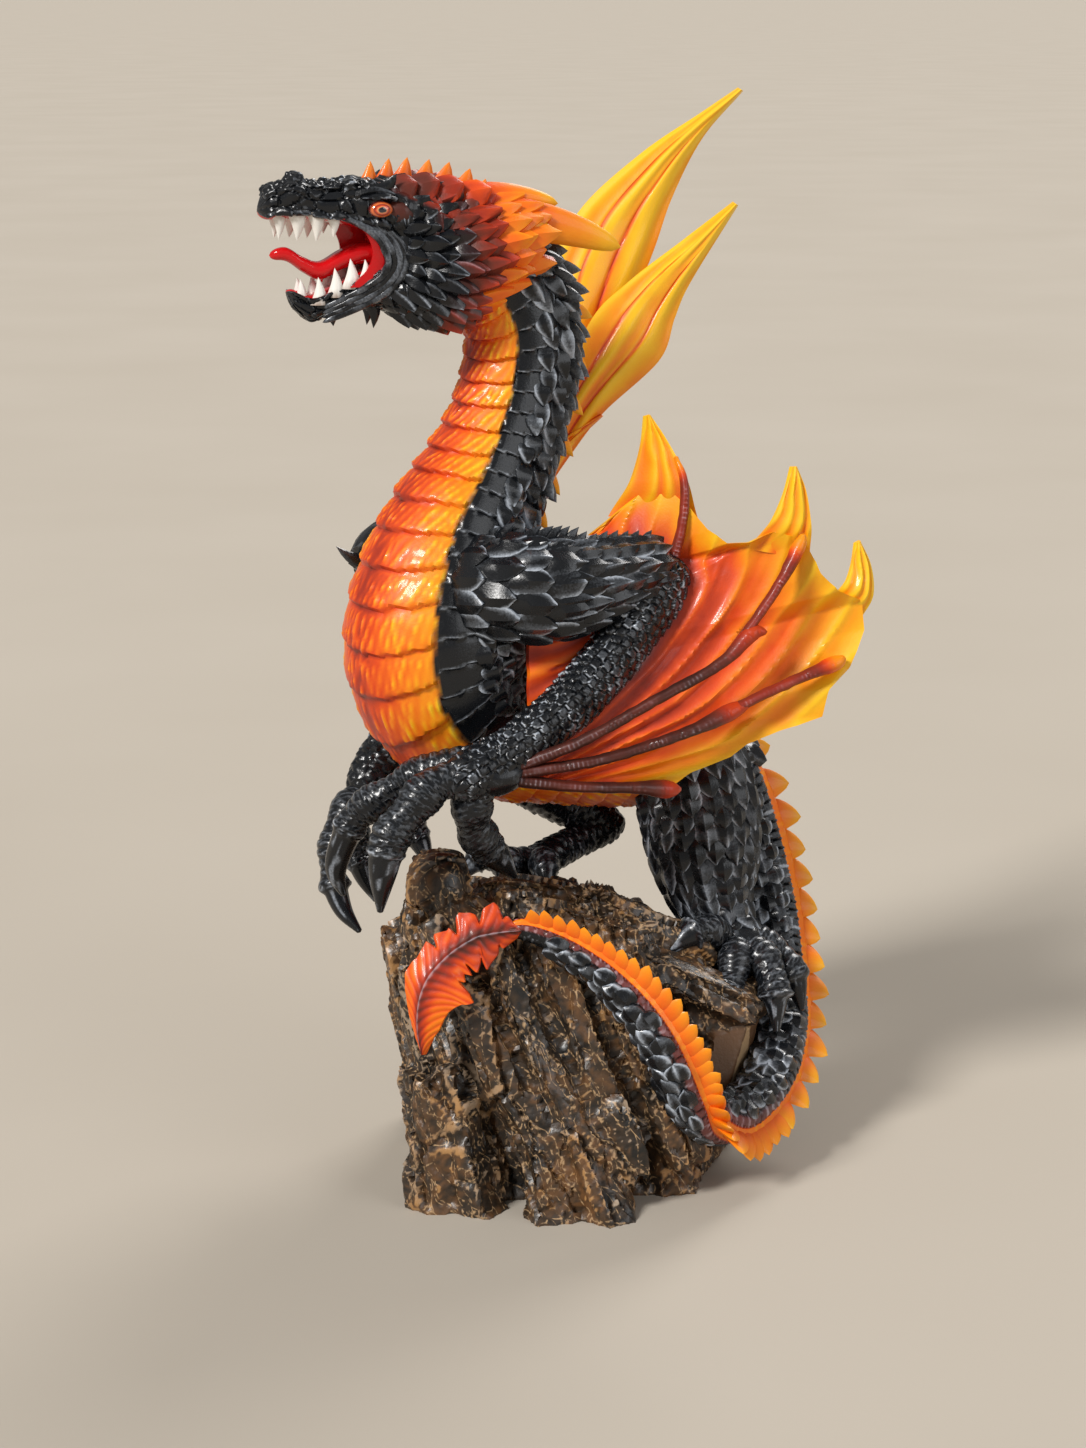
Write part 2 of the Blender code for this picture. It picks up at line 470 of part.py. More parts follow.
def head_solids():
    def jaw_rings(rows, sides):
        return [ring_points(head_point(a, 0, w), -HEAD_LEFT, UP, half_width, half_height, sides)
                for a, w, half_width, half_height in rows]

    result = [loft(jaw_rings(SKULL, 8)), loft(jaw_rings(JAW, 8)), loft(jaw_rings(TONGUE, 6))]
    for side in (1, -1):
        for teeth, way in ((UPPER_TEETH, -1), (LOWER_TEETH, 1)):
            for a, left, w, length, radius in teeth:
                root = head_point(a, side * left, w - way * 1.2)
                result.append(spike(root, root + UP * way * (length + 1.2), HEAD_ALONG,
                                    radius * 2, radius * 2))
        result.append(ball(head_point(EYE_PLACE[0], side * EYE_PLACE[1], EYE_PLACE[2]), EYE_RADIUS))
        for a, left, w, radius in (NOSTRIL, BROW):
            result.append(ball(head_point(a, side * left, w), radius))
        for a, w, tip_a, tip_w, left in RUFF:
            result.append(lance(head_point(a, side * (left - 1.5), w),
                                head_point(tip_a, side * (left + 2.5), tip_w), UP,
                                RUFF_WIDTH * 2, RUFF_THICKNESS))
        root, tip, radius = THROAT_SPUR
        result.append(spike(head_point(root[0], side * root[1], root[2]),
                            head_point(tip[0], side * tip[1], tip[2]), HEAD_ALONG,
                            radius * 2, radius * 1.4))
    root, tip, radius = CHIN_SPUR
    result.append(spike(head_point(*root), head_point(*tip), HEAD_ALONG, radius * 2, radius * 2))
    for tip_a, tip_w, a, w, length in CREST:
        result.append(spike(head_point(a, 0, w - 2), head_point(tip_a, 0, tip_w), HEAD_ALONG,
                            length * 1.3, 3.2))
    for root, tip, width, thickness in HORNS:
        result.append(lance(head_point(*root), head_point(*tip), UP, width * 2, thickness * 2))
    return result


def arm_solids():
    result = [limb(NEAR_UPPER_ARM), limb(NEAR_FOREARM), limb(FAR_UPPER_ARM), limb(FAR_FOREARM)]
    result += [digit(rows) for rows in NEAR_FINGERS + FAR_FINGERS]
    for rows in (NEAR_UPPER_ARM, FAR_UPPER_ARM):
        for fraction in np.linspace(0.28, 0.86, 6):
            row = along_curve(rows, (fraction, fraction + 0.02))
            way = unit_vector(row[1, :3] - row[0, :3])
            root = row[0, :3] + UP * (row[0, 4] - 2.2)
            result.append(spike(root, root + UP * 6.0 + way * 3.0, way, 8.0, 4.0))
    return result


def leg_solids():
    result = [limb(NEAR_LEG, rings=7, hint=(0, -1, 0)), limb(FAR_THIGH), limb(FAR_SHIN), limb(FAR_HOCK, 6, 5)]
    result += [digit(rows) for rows in NEAR_TOES + FAR_TOES]
    return result


def fan_grid(root, edge, steps, sag):
    """Lines from the root curve to the edge curve, bowed by the sag between the two."""
    ends = vec(edge)
    starts = along_curve(root, ends[:, 0])
    spread = unit_vector(np.cross(ends[-1, 1:] - starts[0], ends[0, 1:] - starts[-1]))
    grid = []
    for start, end in zip(starts, ends[:, 1:]):
        line = []
        for share in np.linspace(0, 1, steps):
            bow = spread * sag * math.sin(math.pi * share)
            line.append(start + (end - start) * share + bow)
        grid.append(line)
    return grid


def wing_solids():
    thickness, edge = WING_THICKNESS / UNIT, WING_EDGE_THICKNESS / UNIT
    near = fan_grid(NEAR_WING_ROOT, NEAR_WING_EDGE, NEAR_WING_STEPS, NEAR_WING_SAG)
    far = fan_grid(FAR_FAN_ROOT, FAR_FAN_EDGE, FAR_FAN_STEPS, 0.0)
    result = [sheet(near, NEAR_WING_FACING, thickness, edge), sheet(far, FAR_FAN_FACING, thickness, edge)]
    for left, right in NEAR_HOOKS:
        result.append(ribbon(left, right, NEAR_HOOK_ROWS, 3, NEAR_WING_FACING, 0.6, thickness))
    result.append(ribbon(*ELBOW_WEB, 4, 3, NEAR_WING_FACING, 0.0, thickness))
    for left, right, bulge in FAR_BLADES:
        result.append(ribbon(left, right, FAR_BLADE_ROWS, FAR_BLADE_COLUMNS, (0, -1, 0), bulge, thickness))
    result += [digit(rows, 4) for rows in NEAR_RIBS]
    return result


def leaf_solid():
    rows = vec(LEAF)
    grid = []
    out = unit_vector(LEAF_OUT)
    for row, tangent in zip(rows, tangents_of(rows[:, :3])):
        side = unit_vector(np.cross(tangent, out))
        line = []
        for share in (-1.0, 0.0, 1.0):
            width = row[3] if share < 0 else row[4]
            line.append(row[:3] + side * share * width + out * LEAF_CUP * (1 - abs(share)))
        grid.append(line)
    return sheet(grid, out, LEAF_THICKNESS / UNIT, LEAF_THICKNESS / UNIT)


def block(values, grow, seed, foot_z=-6.0):
    """A tapered, leaning rock with an uneven many-sided section, grown outwards by a gap."""
    x, y, length, depth, top_x, top_y, top_z, top_length, top_depth, heading = values
    draw = random.Random(seed)
    jitter = [draw.uniform(1 - ROCK_JITTER, 1 + ROCK_JITTER) for _ in range(ROCK_BLOCK_SIDES)]
    tilt = [draw.uniform(-0.05, 0.05) for _ in range(ROCK_BLOCK_SIDES)]
    turn = math.radians(heading)
    rings = []
    for share in (0.0, 0.86, 1.0):
        centre = vec((x + (top_x - x) * share, y + (top_y - y) * share, foot_z + (top_z - foot_z) * share))
        shrink = 0.8 if share == 1.0 else 1.0
        half_x = (length + (top_length - length) * share) / 2 * shrink
        half_y = (depth + (top_depth - depth) * share) / 2 * shrink
        ring = []
        for j, reach in enumerate(jitter):
            angle = 2 * math.pi * (j + 2.5 * tilt[j]) / ROCK_BLOCK_SIDES
            px = math.cos(angle) * (half_x * reach + grow)
            py = math.sin(angle) * (half_y * reach + grow)
            rise = tilt[j] * top_z * (share > 0.5) + grow * (share > 0.95)
            ring.append(centre + vec((px * math.cos(turn) - py * math.sin(turn),
                                      px * math.sin(turn) + py * math.cos(turn), rise)))
        rings.append(ring)
    return loft(rings)


def slab(start, end, half_width, half_depth, grow, seed):
    """A slanting slab with an uneven section and blunt ends."""
    draw = random.Random(seed)
    jitter = [draw.uniform(1 - ROCK_JITTER, 1 + ROCK_JITTER) for _ in range(ROCK_SLAB_SIDES)]
    start, end = vec(start), vec(end)
    way = unit_vector(end - start)
    side = unit_vector(np.cross(way, vec((0, 1, 0))))
    out = np.cross(side, way)
    rings = []
    for share, shrink in ((0.0, 0.7), (0.14, 1.0), (0.88, 1.05), (1.0, 0.75)):
        reach = grow * ((share > 0.9) - (share < 0.1))
        centre = start + (end - start) * share + way * reach
        ring = []
        for j, scale in enumerate(jitter):
            angle = 2 * math.pi * (j + 0.5) / ROCK_SLAB_SIDES
            ring.append(centre + side * math.cos(angle) * (half_width * scale * shrink + grow)
                        + out * math.sin(angle) * (half_depth * scale * shrink + grow))
        rings.append(ring)
    return loft(rings)


def rock_solids(grow):
    result = [block(values, grow, seed) for seed, values in enumerate(ROCK_BLOCKS)]
    x, y, z = ROCK_KNOB[:3]
    knob = (x, y) + ROCK_KNOB[3:]
    result.append(block(knob, grow, 31, foot_z=z - 20))
    result += [slab(*values, grow, 50 + seed) for seed, values in enumerate(ROCK_SLABS)]
    return result


def chip_solid(grow):
    x, y, low, high, length, depth, heading = CHIP_CUT
    turn = math.radians(heading)
    rings = []
    for z in (low, high - grow):
        ring = []
        for sign_x, sign_y in ((-1, -1), (1, -1), (1, 1), (-1, 1)):
            px = sign_x * (length / 2 - grow)
            py = sign_y * (depth / 2 - grow)
            ring.append(vec((x + px * math.cos(turn) - py * math.sin(turn),
                             y + px * math.sin(turn) + py * math.cos(turn), z)))
        rings.append(ring)
    return loft(rings)


def mesh_object(name, solid):
    points, faces = solid
    mesh = bpy.data.meshes.new(name)
    mesh.from_pydata([tuple(c * UNIT for c in p) for p in points], [], faces)
    form = bmesh.new()
    form.from_mesh(mesh)
    bmesh.ops.recalc_face_normals(form, faces=form.faces)
    bmesh.ops.triangulate(form, faces=form.faces)
    form.to_mesh(mesh)
    form.free()
    thing = bpy.data.objects.new(name, mesh)
    bpy.context.scene.collection.objects.link(thing)
    return thing


def combine(target, others, operation):
    """The target's mesh after one Boolean with all of the others."""
    group = bpy.data.collections.new("operands")
    for other in others:
        group.objects.link(other)
    modifier = target.modifiers.new(operation.lower(), "BOOLEAN")
    modifier.operation = operation
    modifier.operand_type = "COLLECTION"
    modifier.collection = group
    modifier.solver = "MANIFOLD"
    bpy.context.view_layer.update()
    evaluated = target.evaluated_get(bpy.context.evaluated_depsgraph_get())
    result = bpy.data.meshes.new_from_object(evaluated)
    target.modifiers.clear()
    target.data = result
    keep_largest(result)
    for other in others:
        bpy.data.objects.remove(other)
    bpy.data.collections.remove(group)


def keep_largest(mesh):
    """Drops the crumbs and pinholes that a cut leaves, and keeps the one large body."""
    form = bmesh.new()
    form.from_mesh(mesh)
    waiting = set(form.faces)
    largest = []
    while waiting:
        stack = [waiting.pop()]
        body = []
        while stack:
            face = stack.pop()
            body.append(face)
            for edge in face.edges:
                for other in edge.link_faces:
                    if other in waiting:
                        waiting.remove(other)
                        stack.append(other)
        if len(body) > len(largest):
            largest = body
    keep = set(largest)
    bmesh.ops.delete(form, geom=[face for face in form.faces if face not in keep], context="FACES")
    form.to_mesh(mesh)
    form.free()


def fused(name, solids):
    first = mesh_object(name, solids[0])
    others = [mesh_object(f"operand_{i}", solid) for i, solid in enumerate(solids[1:])]
    combine(first, others, "UNION")
    return first


def box_solid(low, high):
    rings = []
    for z in (low[2], high[2]):
        rings.append([vec((x, y, z)) for x, y in ((low[0], low[1]), (high[0], low[1]),
                                                   (high[0], high[1]), (low[0], high[1]))])
    return loft(rings)


def material(name, colour, roughness, metallic=0.0):
    made = bpy.data.materials.new(name)
    made.use_nodes = True
    shader = made.node_tree.nodes["Principled BSDF"]
    shader.inputs["Base Color"].default_value = (*colour, 1.0)
    shader.inputs["Roughness"].default_value = roughness
    shader.inputs["Metallic"].default_value = metallic
    return made


def rock(name, grow):
    """The plinth, or with a gap added the shape that is cleared for it."""
    made = fused(name, rock_solids(grow))
    below = mesh_object("below", box_solid((-200, -200, -60), (200, 200, 0)))
    combine(made, [below, mesh_object("chip", chip_solid(grow))], "DIFFERENCE")
    return made


def build():
    for thing in list(bpy.data.objects):
        bpy.data.objects.remove(thing)
    base = rock("rock_base", 0.0)
    base.data.materials.clear()
    base.data.materials.append(material("rock", (0.045, 0.03, 0.02), 0.35))
    casting = [loft(spine_rings())] + head_solids() + arm_solids() + leg_solids()
    casting += wing_solids() + back_spikes() + [leaf_solid()]
    dragon = fused("dragon", casting)
    combine(dragon, [rock("cleared", SEAT_GAP / UNIT)], "DIFFERENCE")
    dragon.data.materials.clear()
    dragon.data.materials.append(material("painted_resin", (0.02, 0.02, 0.025), 0.3))


build()
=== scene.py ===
"""The looks of the dragon figurine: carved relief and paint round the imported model.

Lengths in the tables are millimetres in the model's frame: origin on the plinth's underside,
+Z up, the head facing -X. Every painted vertex carries four values: heat (0 maroon to 1 yellow),
warm (0 black paint, 1 red to yellow paint), relief (how much of the dry brush it caught), and
wet (0 skin, 1 the red glaze of the mouth). On the rock the same four hold its fine grain, the broken
corner, relief, and the corner's pale sliver.
"""

import math

import bpy
import numpy as np
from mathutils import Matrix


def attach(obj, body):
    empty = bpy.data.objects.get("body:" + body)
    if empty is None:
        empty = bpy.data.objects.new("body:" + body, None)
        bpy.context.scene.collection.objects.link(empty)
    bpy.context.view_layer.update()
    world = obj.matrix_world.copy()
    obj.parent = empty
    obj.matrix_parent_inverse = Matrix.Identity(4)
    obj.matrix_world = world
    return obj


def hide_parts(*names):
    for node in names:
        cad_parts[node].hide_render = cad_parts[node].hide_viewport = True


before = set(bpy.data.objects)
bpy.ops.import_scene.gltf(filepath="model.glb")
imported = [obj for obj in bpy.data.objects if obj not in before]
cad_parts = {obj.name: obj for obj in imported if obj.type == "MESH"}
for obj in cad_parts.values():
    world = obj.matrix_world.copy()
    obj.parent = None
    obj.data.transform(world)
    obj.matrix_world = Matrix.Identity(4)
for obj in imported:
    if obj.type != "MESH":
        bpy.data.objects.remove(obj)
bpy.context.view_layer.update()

MM = 0.001

# The spine from the skull to the tail's end:
# x, y, z, half width, half depth, then the direction of the back (x, y, z)
SPINE = (
    (-36, 5.5, 260.5, 12, 12, 0.1, 0.0, 1.0),
    (-25, 9, 256.5, 13, 13.5, 0.5, 0.2, 0.9),
    (-16, 12.5, 247.5, 13.3, 14, 0.75, 0.4, 0.5),
    (-12, 14.5, 236, 13.3, 13.8, 0.87, 0.48, 0.1),
    (-13, 15, 222, 13.5, 13.8, 0.87, 0.5, -0.05),
    (-17, 13.5, 208, 14.3, 14.2, 0.85, 0.5, -0.2),
    (-22.5, 10.5, 195, 16.3, 16, 0.83, 0.5, -0.25),
    (-29, 6.5, 182, 19, 18.5, 0.85, 0.5, -0.2),
    (-33.5, 3.5, 169, 21.5, 21, 0.85, 0.52, -0.1),
    (-35.5, 2.5, 155, 23.5, 23.5, 0.85, 0.52, 0.1),
    (-34, 5, 141, 23.5, 24, 0.75, 0.45, 0.45),
    (-27, 10.5, 130.5, 22.5, 23.5, 0.5, 0.3, 0.8),
    (-16, 18, 124, 21.5, 22.5, 0.2, 0.12, 1.0),
    (-3, 26, 120, 20.5, 21.5, 0.05, 0.03, 1.0),
    (11, 34, 116.5, 20.5, 21, 0.0, 0.0, 1.0),
    (24, 41, 113, 19.5, 20, 0.2, 0.1, 1.0),
    (36, 46, 107, 16.5, 16.5, 0.5, 0.3, 0.8),
    (46, 48.5, 97.5, 13.5, 13, 0.8, 0.4, 0.5),
    (53, 46.5, 86, 11.3, 11, 0.95, 0.2, 0.3),
    (58, 41.5, 72.5, 10, 10, 1.0, 0.1, 0.2),
    (61.5, 34, 58.5, 9.2, 9.2, 1.0, 0.1, 0.1),
    (63.5, 24, 45.5, 8.4, 8.4, 1.0, 0.0, 0.0),
    (64, 11.5, 34.5, 7.8, 7.8, 1.0, -0.1, -0.3),
    (61.5, -1.5, 26.5, 7.2, 7.2, 0.9, -0.3, -0.5),
    (56, -14, 21.5, 6.7, 6.7, 0.6, -0.6, -0.6),
    (48.5, -24.5, 19.8, 6.3, 6.3, 0.3, -0.7, -0.6),
    (41, -32.5, 22.5, 6, 6, 0.5, -0.8, -0.1),
    (35.5, -37.5, 30, 5.8, 5.8, 0.85, -0.5, 0.3),
    (31.5, -40, 39.5, 5.5, 5.5, 0.85, -0.35, 0.45),
    (27, -41, 49.5, 5.2, 5.2, 0.8, -0.3, 0.5),
    (20.5, -40.5, 59, 4.8, 4.8, 0.7, -0.3, 0.65),
    (12, -38.5, 67.5, 4.3, 4.3, 0.5, -0.35, 0.75),
    (2, -36.5, 74, 3.7, 3.7, 0.35, -0.35, 0.85),
    (-8, -35.5, 78, 3.0, 3.0, 0.2, -0.35, 0.9),
    (-15, -36.5, 79, 2.2, 2.2, 0.1, -0.35, 0.9),
)
# The share of the spine at which the tail starts, and degrees from the belly's middle to each edge
TAIL_START = 0.5
BELLY_EDGE = 62.0
SCUTE_EDGE = 97.0
# Pitch and height of the belly plates, of the flutes on them, and of the scutes beside them; a lip
# is the share of a plate or scute past which it steps back down
BELLY_PLATE = 8.0
BELLY_PLATE_HEIGHT = 1.4
PLATE_LIP = 0.93
FLUTE = 2.3
FLUTE_HEIGHT = 0.6
SCUTE = 6.2
SCUTE_HEIGHT = 1.35
SCUTE_LIP = 0.9
# Thorns and fins along the ridge: start, end, count, height, width, thickness, then heat at foot and tip
RIDGE_RUNS = ((0.080, 0.330, 14, 10.5, 8.0, 3.6, 0.50, 0.84), (0.475, 0.76, 17, 6.6, 13.0, 4.4, 0.52, 0.84),
              (0.765, 0.985, 30, 7.6, 12.0, 3.8, 0.48, 0.74))
NAPE_THORNS = 44

# Limbs: x, y, z, half width, half depth along each one
NEAR_UPPER_ARM = ((-26, -5, 167, 12, 13), (-15, -13, 168, 12, 13.5), (-2, -14.5, 168, 10.5, 13),
                  (10, -11, 169.5, 9, 10.5), (21, -5, 171.5, 7, 8), (28.5, 0, 172, 5.5, 6))
NEAR_FOREARM = ((30, 1.5, 175, 4.5, 5), (27.5, -1.5, 166, 6.5, 8), (17.5, -9.5, 153, 6.5, 8.5),
                (6, -17, 140.5, 6.2, 8), (-5, -22.5, 131.5, 5.8, 7), (-15, -26, 124.5, 5.8, 7),
                (-25, -28.5, 119, 6.5, 7.5), (-30, -28, 114, 4, 4.5))
FAR_UPPER_ARM = ((-51, 22, 163, 9, 11), (-47, 27, 167, 12, 13), (-36, 35, 167, 12, 13),
                 (-21, 44, 164, 9.5, 11), (-8, 50.5, 161, 7, 8), (-3, 52, 160, 5, 6))
FAR_FOREARM = ((-3, 52, 162, 4.5, 5), (-8, 50.5, 155, 6.5, 8), (-21, 45.5, 143, 6.5, 8),
               (-34, 39.5, 129, 6.3, 7.5), (-46, 33.5, 115, 6.2, 7.5), (-54, 28.5, 104, 6.2, 7),
               (-58, 25, 97, 4.5, 5))
NEAR_LEG = ((34, 33, 116, 13, 12), (38, 30, 105, 15.5, 13), (40.5, 27, 93, 15.5, 13),
            (42, 23.5, 82, 14.5, 12), (43.5, 20, 72, 11.5, 9.5), (46.5, 17, 65, 8, 7.5),
            (50, 14, 59.5, 6.5, 6), (52, 9, 57, 6.5, 4.5))
FAR_THIGH = ((20, 56, 111, 12, 13), (8, 57, 107, 12.5, 13), (-4, 53, 104, 11, 11.5),
             (-14, 48, 102, 8.5, 9), (-19, 45, 100, 5, 5))
FAR_SHIN = ((-19, 45, 102, 6, 7), (-10, 44.5, 100, 7.5, 8.5), (2, 44.5, 93, 7, 8),
            (12, 44.5, 86.5, 5.5, 5.5), (16, 44.5, 83.5, 4, 4))
FAR_HOCK = ((19.5, 45, 86.5, 2, 2), (14, 44, 84.5, 4.6, 4.6), (4, 38.5, 81, 4.6, 4.6),
            (-7, 30, 77.5, 4.8, 4.8), (-11, 27, 77, 4, 4))

# Roots of the black spikes at the far shoulder
SHOULDER_SPIKES = ((-60, 18, 172), (-63, 17, 163), (-58, 14, 155), (-50, 16, 176), (-41, 24, 181))

# Fingers and toes: x, y, z, radius from root to claw tip, and the share at which the claw starts
CLAW_FROM = 0.68
NEAR_FINGERS = (
    ((-22, -26, 121, 5), (-32, -25, 121.5, 4.4), (-45, -23, 114.5, 4.2), (-55, -21, 107, 4.2),
     (-59.5, -20, 99, 3.6), (-62, -18.5, 90, 2.8), (-60, -17, 82, 0.7)),
    ((-25, -29, 119, 5.5), (-33.5, -31, 118, 5), (-41, -34, 111, 4.8), (-46, -36, 104, 4.6),
     (-48, -37, 95, 3.8), (-49, -35.5, 83, 0.7)),
    ((-21, -27, 120, 5.5), (-24, -27, 111.5, 5), (-23.5, -24, 104, 4.8), (-21, -20, 98, 4.6),
     (-17, -16, 92.5, 3.6), (-12.5, -13, 86, 0.7)),
)
FAR_FINGERS = (
    ((-56, 27, 99, 5), (-61.5, 21, 95, 4.6), (-64.6, 16.5, 87, 4.2), (-65, 13, 78, 3.6),
     (-62.3, 9, 70, 2.6), (-57, 4, 64.5, 0.7)),
    ((-55, 29, 98, 4.6), (-59, 33.5, 92, 4.2), (-60, 33, 83, 3.8), (-57.5, 30, 74, 3),
     (-53.5, 25, 67, 0.7)),
    ((-52, 28, 98, 4.6), (-46, 31, 92, 4), (-41, 30, 84, 3.2), (-38, 26, 77, 0.7)),
)
NEAR_TOES = (
    ((50, 12, 60, 4.5), (42, 5, 64.5, 4.2), (36.5, 1, 64.5, 3.8), (30.5, -2.5, 60.5, 0.7)),
    ((50, 10, 59, 5), (50, 3, 57, 4.5), (48.5, -2, 51.5, 4), (43.7, -6, 44, 0.7)),
    ((53, 10, 58.5, 5), (58.5, 4, 55.5, 4.6), (61, -2, 49, 4), (61.5, -7, 38, 0.7)),
    ((54, 14, 59, 5), (62, 11, 56, 4.4), (67, 7, 50, 3.8), (69.5, 3, 41, 0.7)),
)
FAR_TOES = (
    ((-9, 28, 77, 4.2), (-14, 23, 80, 4), (-16, 17.5, 79.5, 3.4), (-15, 12.5, 74, 0.7)),
    ((-7, 30, 77, 4.2), (-5, 22, 80, 3.8), (-4, 16, 78.5, 3.2), (-3.5, 11, 73, 0.7)),
    ((-11, 30, 77, 4.2), (-19, 31, 79, 3.8), (-25, 30, 77.5, 3.2), (-30, 28, 72, 0.7)),
)

# The near wing: where each line starts on the arm, and where it ends on the outer edge
NEAR_WING_ROOT = ((-20, -27.5, 117), (-16, -25, 122), (-5, -21.5, 132), (6, -16, 141),
                  (17, -8.5, 153), (26, -1, 165), (29, 3, 171), (24, 4, 172), (16, 4, 172),
                  (8, 4, 172), (1, 4, 172))
NEAR_WING_EDGE = (
    (0.00, 28.5, -17, 112), (0.04, 35.5, -13, 116.5), (0.08, 46.5, -11.5, 120.5),
    (0.12, 51, -11.5, 124), (0.17, 60, -10, 127.5), (0.23, 72, -8, 131), (0.27, 73.5, -7, 138.5),
    (0.32, 79.5, -4, 144), (0.38, 83.5, -1, 154), (0.44, 83, 0, 162), (0.50, 76, -4, 165.5),
    (0.56, 71, -5, 170.5), (0.61, 66, -4, 180), (0.67, 58, -4, 182), (0.73, 51, -4, 179),
    (0.79, 45.5, -3, 178.5), (0.85, 40, 0, 182), (0.89, 35, 4, 187.5), (0.93, 29, 9, 192),
    (0.96, 22, 12, 190), (0.98, 16, 13, 184.5), (1.00, 8, 12.5, 178),
)
NEAR_HOOKS = (
    (((14, 13, 183), (19, 13.5, 192), (22, 14, 202), (23, 14.5, 211)),
     ((39, 2, 183), (34, 7, 196), (29, 11, 205), (24.5, 14, 211.5))),
    (((52, -4, 177), (57, -3.5, 184), (60.5, -3, 192), (62.5, -1.5, 199.5)),
     ((69, -5, 174), (68, -4, 184), (66.5, -3, 193), (64, -1, 199.5))),
    (((75, -3, 163), (78, -1, 166.5), (80, 1.5, 171.5), (81, 3.5, 177.5)),
     ((83, -1, 155), (86, 1, 163), (85.5, 3, 171), (82.4, 4.5, 178))),
)
NEAR_WING_FACING = (0.35, -1.0, 0.1)
NEAR_WING_SAG = 4.0
WING_THICKNESS = 2.6
WING_EDGE_THICKNESS = 1.4
ELBOW_WEB = (((-9, -9, 160), (6, -8, 162), (22, -3, 168)), ((-9, -16, 136), (6, -12, 144), (22, -4, 160)))
NEAR_RIBS = (
    ((-14, -28, 121.5, 2.2), (5, -28.5, 129, 1.9), (25, -25, 139.5, 1.8), (43, -19.5, 148.5, 1.9),
     (51.5, -16, 156, 2.6), (56, -15.5, 156.5, 0.8)),
    ((45, -18.5, 150, 1.6), (53, -14.5, 160, 1.6), (60, -10.5, 170, 1.8), (64.5, -7.5, 178, 2.3),
     (66, -6.5, 182, 0.8)),
    ((-14, -28, 120, 2.2), (10, -27, 123.5, 1.8), (34, -22, 130, 1.9), (46, -17, 134.5, 2.8),
     (52, -14.5, 136.5, 0.8)),
    ((44, -17.5, 134, 1.6), (56, -14, 139, 1.7), (68, -10, 143.5, 1.9), (75.5, -7.5, 146, 2.6),
     (78, -6, 147.5, 0.8)),
    ((-14, -28, 118.5, 2.2), (4, -26.5, 116, 1.8), (20, -22, 114.5, 2), (29, -18, 113, 3),
     (33, -16, 112.5, 0.8)),
    ((29, 0.5, 168, 2), (33, 1.5, 181, 1.7), (34, 4.5, 193, 1.4), (31.5, 8, 201, 0.8)),
)

# The ribs' outer joints, which are redder
OUTER_RIBS = (1, 3, 5)

# The far wing: two raised blades and a low flap, each by its left and right edge
FAR_BLADES = (
    (((-17, 46, 170), (-11, 51, 190), (-7, 58, 215), (-3, 68, 245), (6, 76, 263), (24, 82, 279),
      (41, 87, 290), (52.5, 90, 297.5)),
     ((-10, 49, 170), (-2, 53, 190), (9, 60, 210), (26, 76, 247), (33, 81, 266), (42, 86, 283),
      (54, 90, 296.5)), 2.5),
    (((-18, 44, 169), (-11, 46, 184), (-4, 51, 205), (8.5, 57, 232), (19.5, 62, 243), (36, 68, 255),
      (50.5, 73, 265.5)),
     ((-10, 46, 169), (-4, 47, 184), (4, 50, 196), (13, 53, 207), (29, 60, 221), (33.5, 63, 233),
      (38, 65, 243), (52, 73, 264.5)), 2.0),
    (((-21, 42, 164), (-16, 42.5, 176), (-10, 44, 188), (0, 49, 201), (11.5, 53, 206.5)),
     ((-13, 44, 164), (-10, 44.5, 178), (-4.5, 46, 187), (2.5, 49, 196.5), (12.5, 53.5, 205.5)), 1.0),
)
FAR_FAN_ROOT = ((-50, 33, 110), (-38, 39.5, 124), (-24, 46.5, 140), (-10, 52, 153), (-3, 53, 160))
FAR_FAN_EDGE = ((0.00, -36, 50, 104), (0.12, -27, 61, 107), (0.22, -20, 66, 116), (0.34, -8, 76, 120),
                (0.46, 2, 84, 128), (0.56, 3, 78, 139), (0.68, 10, 83, 149), (0.82, 20, 86, 163),
                (0.92, 12, 74, 165), (1.00, 3, 61, 165))
FAR_FAN_FACING = (0.6, -0.8, 0.3)

# The leaf at the tail's end: midrib x, y, z, then width to the upper and to the lower side
LEAF = (
    (-10, -37, 78.5, 2.0, 2.0), (-15, -38.5, 78.5, 5.0, 8.5), (-20, -39.5, 78, 9.5, 6.0),
    (-22, -40, 77.5, 5.0, 8.5), (-26, -41, 75.5, 9.0, 6.0), (-29, -42, 73.5, 6.0, 8.0),
    (-32.5, -43.5, 70.5, 13.5, 6.5), (-35.5, -44.5, 66.5, 11.0, 7.0), (-37.5, -45.5, 61, 8.0, 4.0),
    (-38, -46.2, 54, 5.5, 1.8), (-37, -46.5, 46.5, 0.5, 0.5),
)
LEAF_OUT = np.array((-0.25, -0.9, 0.3))
LEAF_THICKNESS = 2.2

# The head's own frame: along to the snout, left towards the viewer, up
HEAD_ORIGIN = np.array((-21.5, 5.5, 258.0))
HEAD_ALONG = np.array((-0.963, -0.27, 0.0))
HEAD_LEFT = np.array((0.27, -0.963, 0.0))
UP = np.array((0.0, 0.0, 1.0))
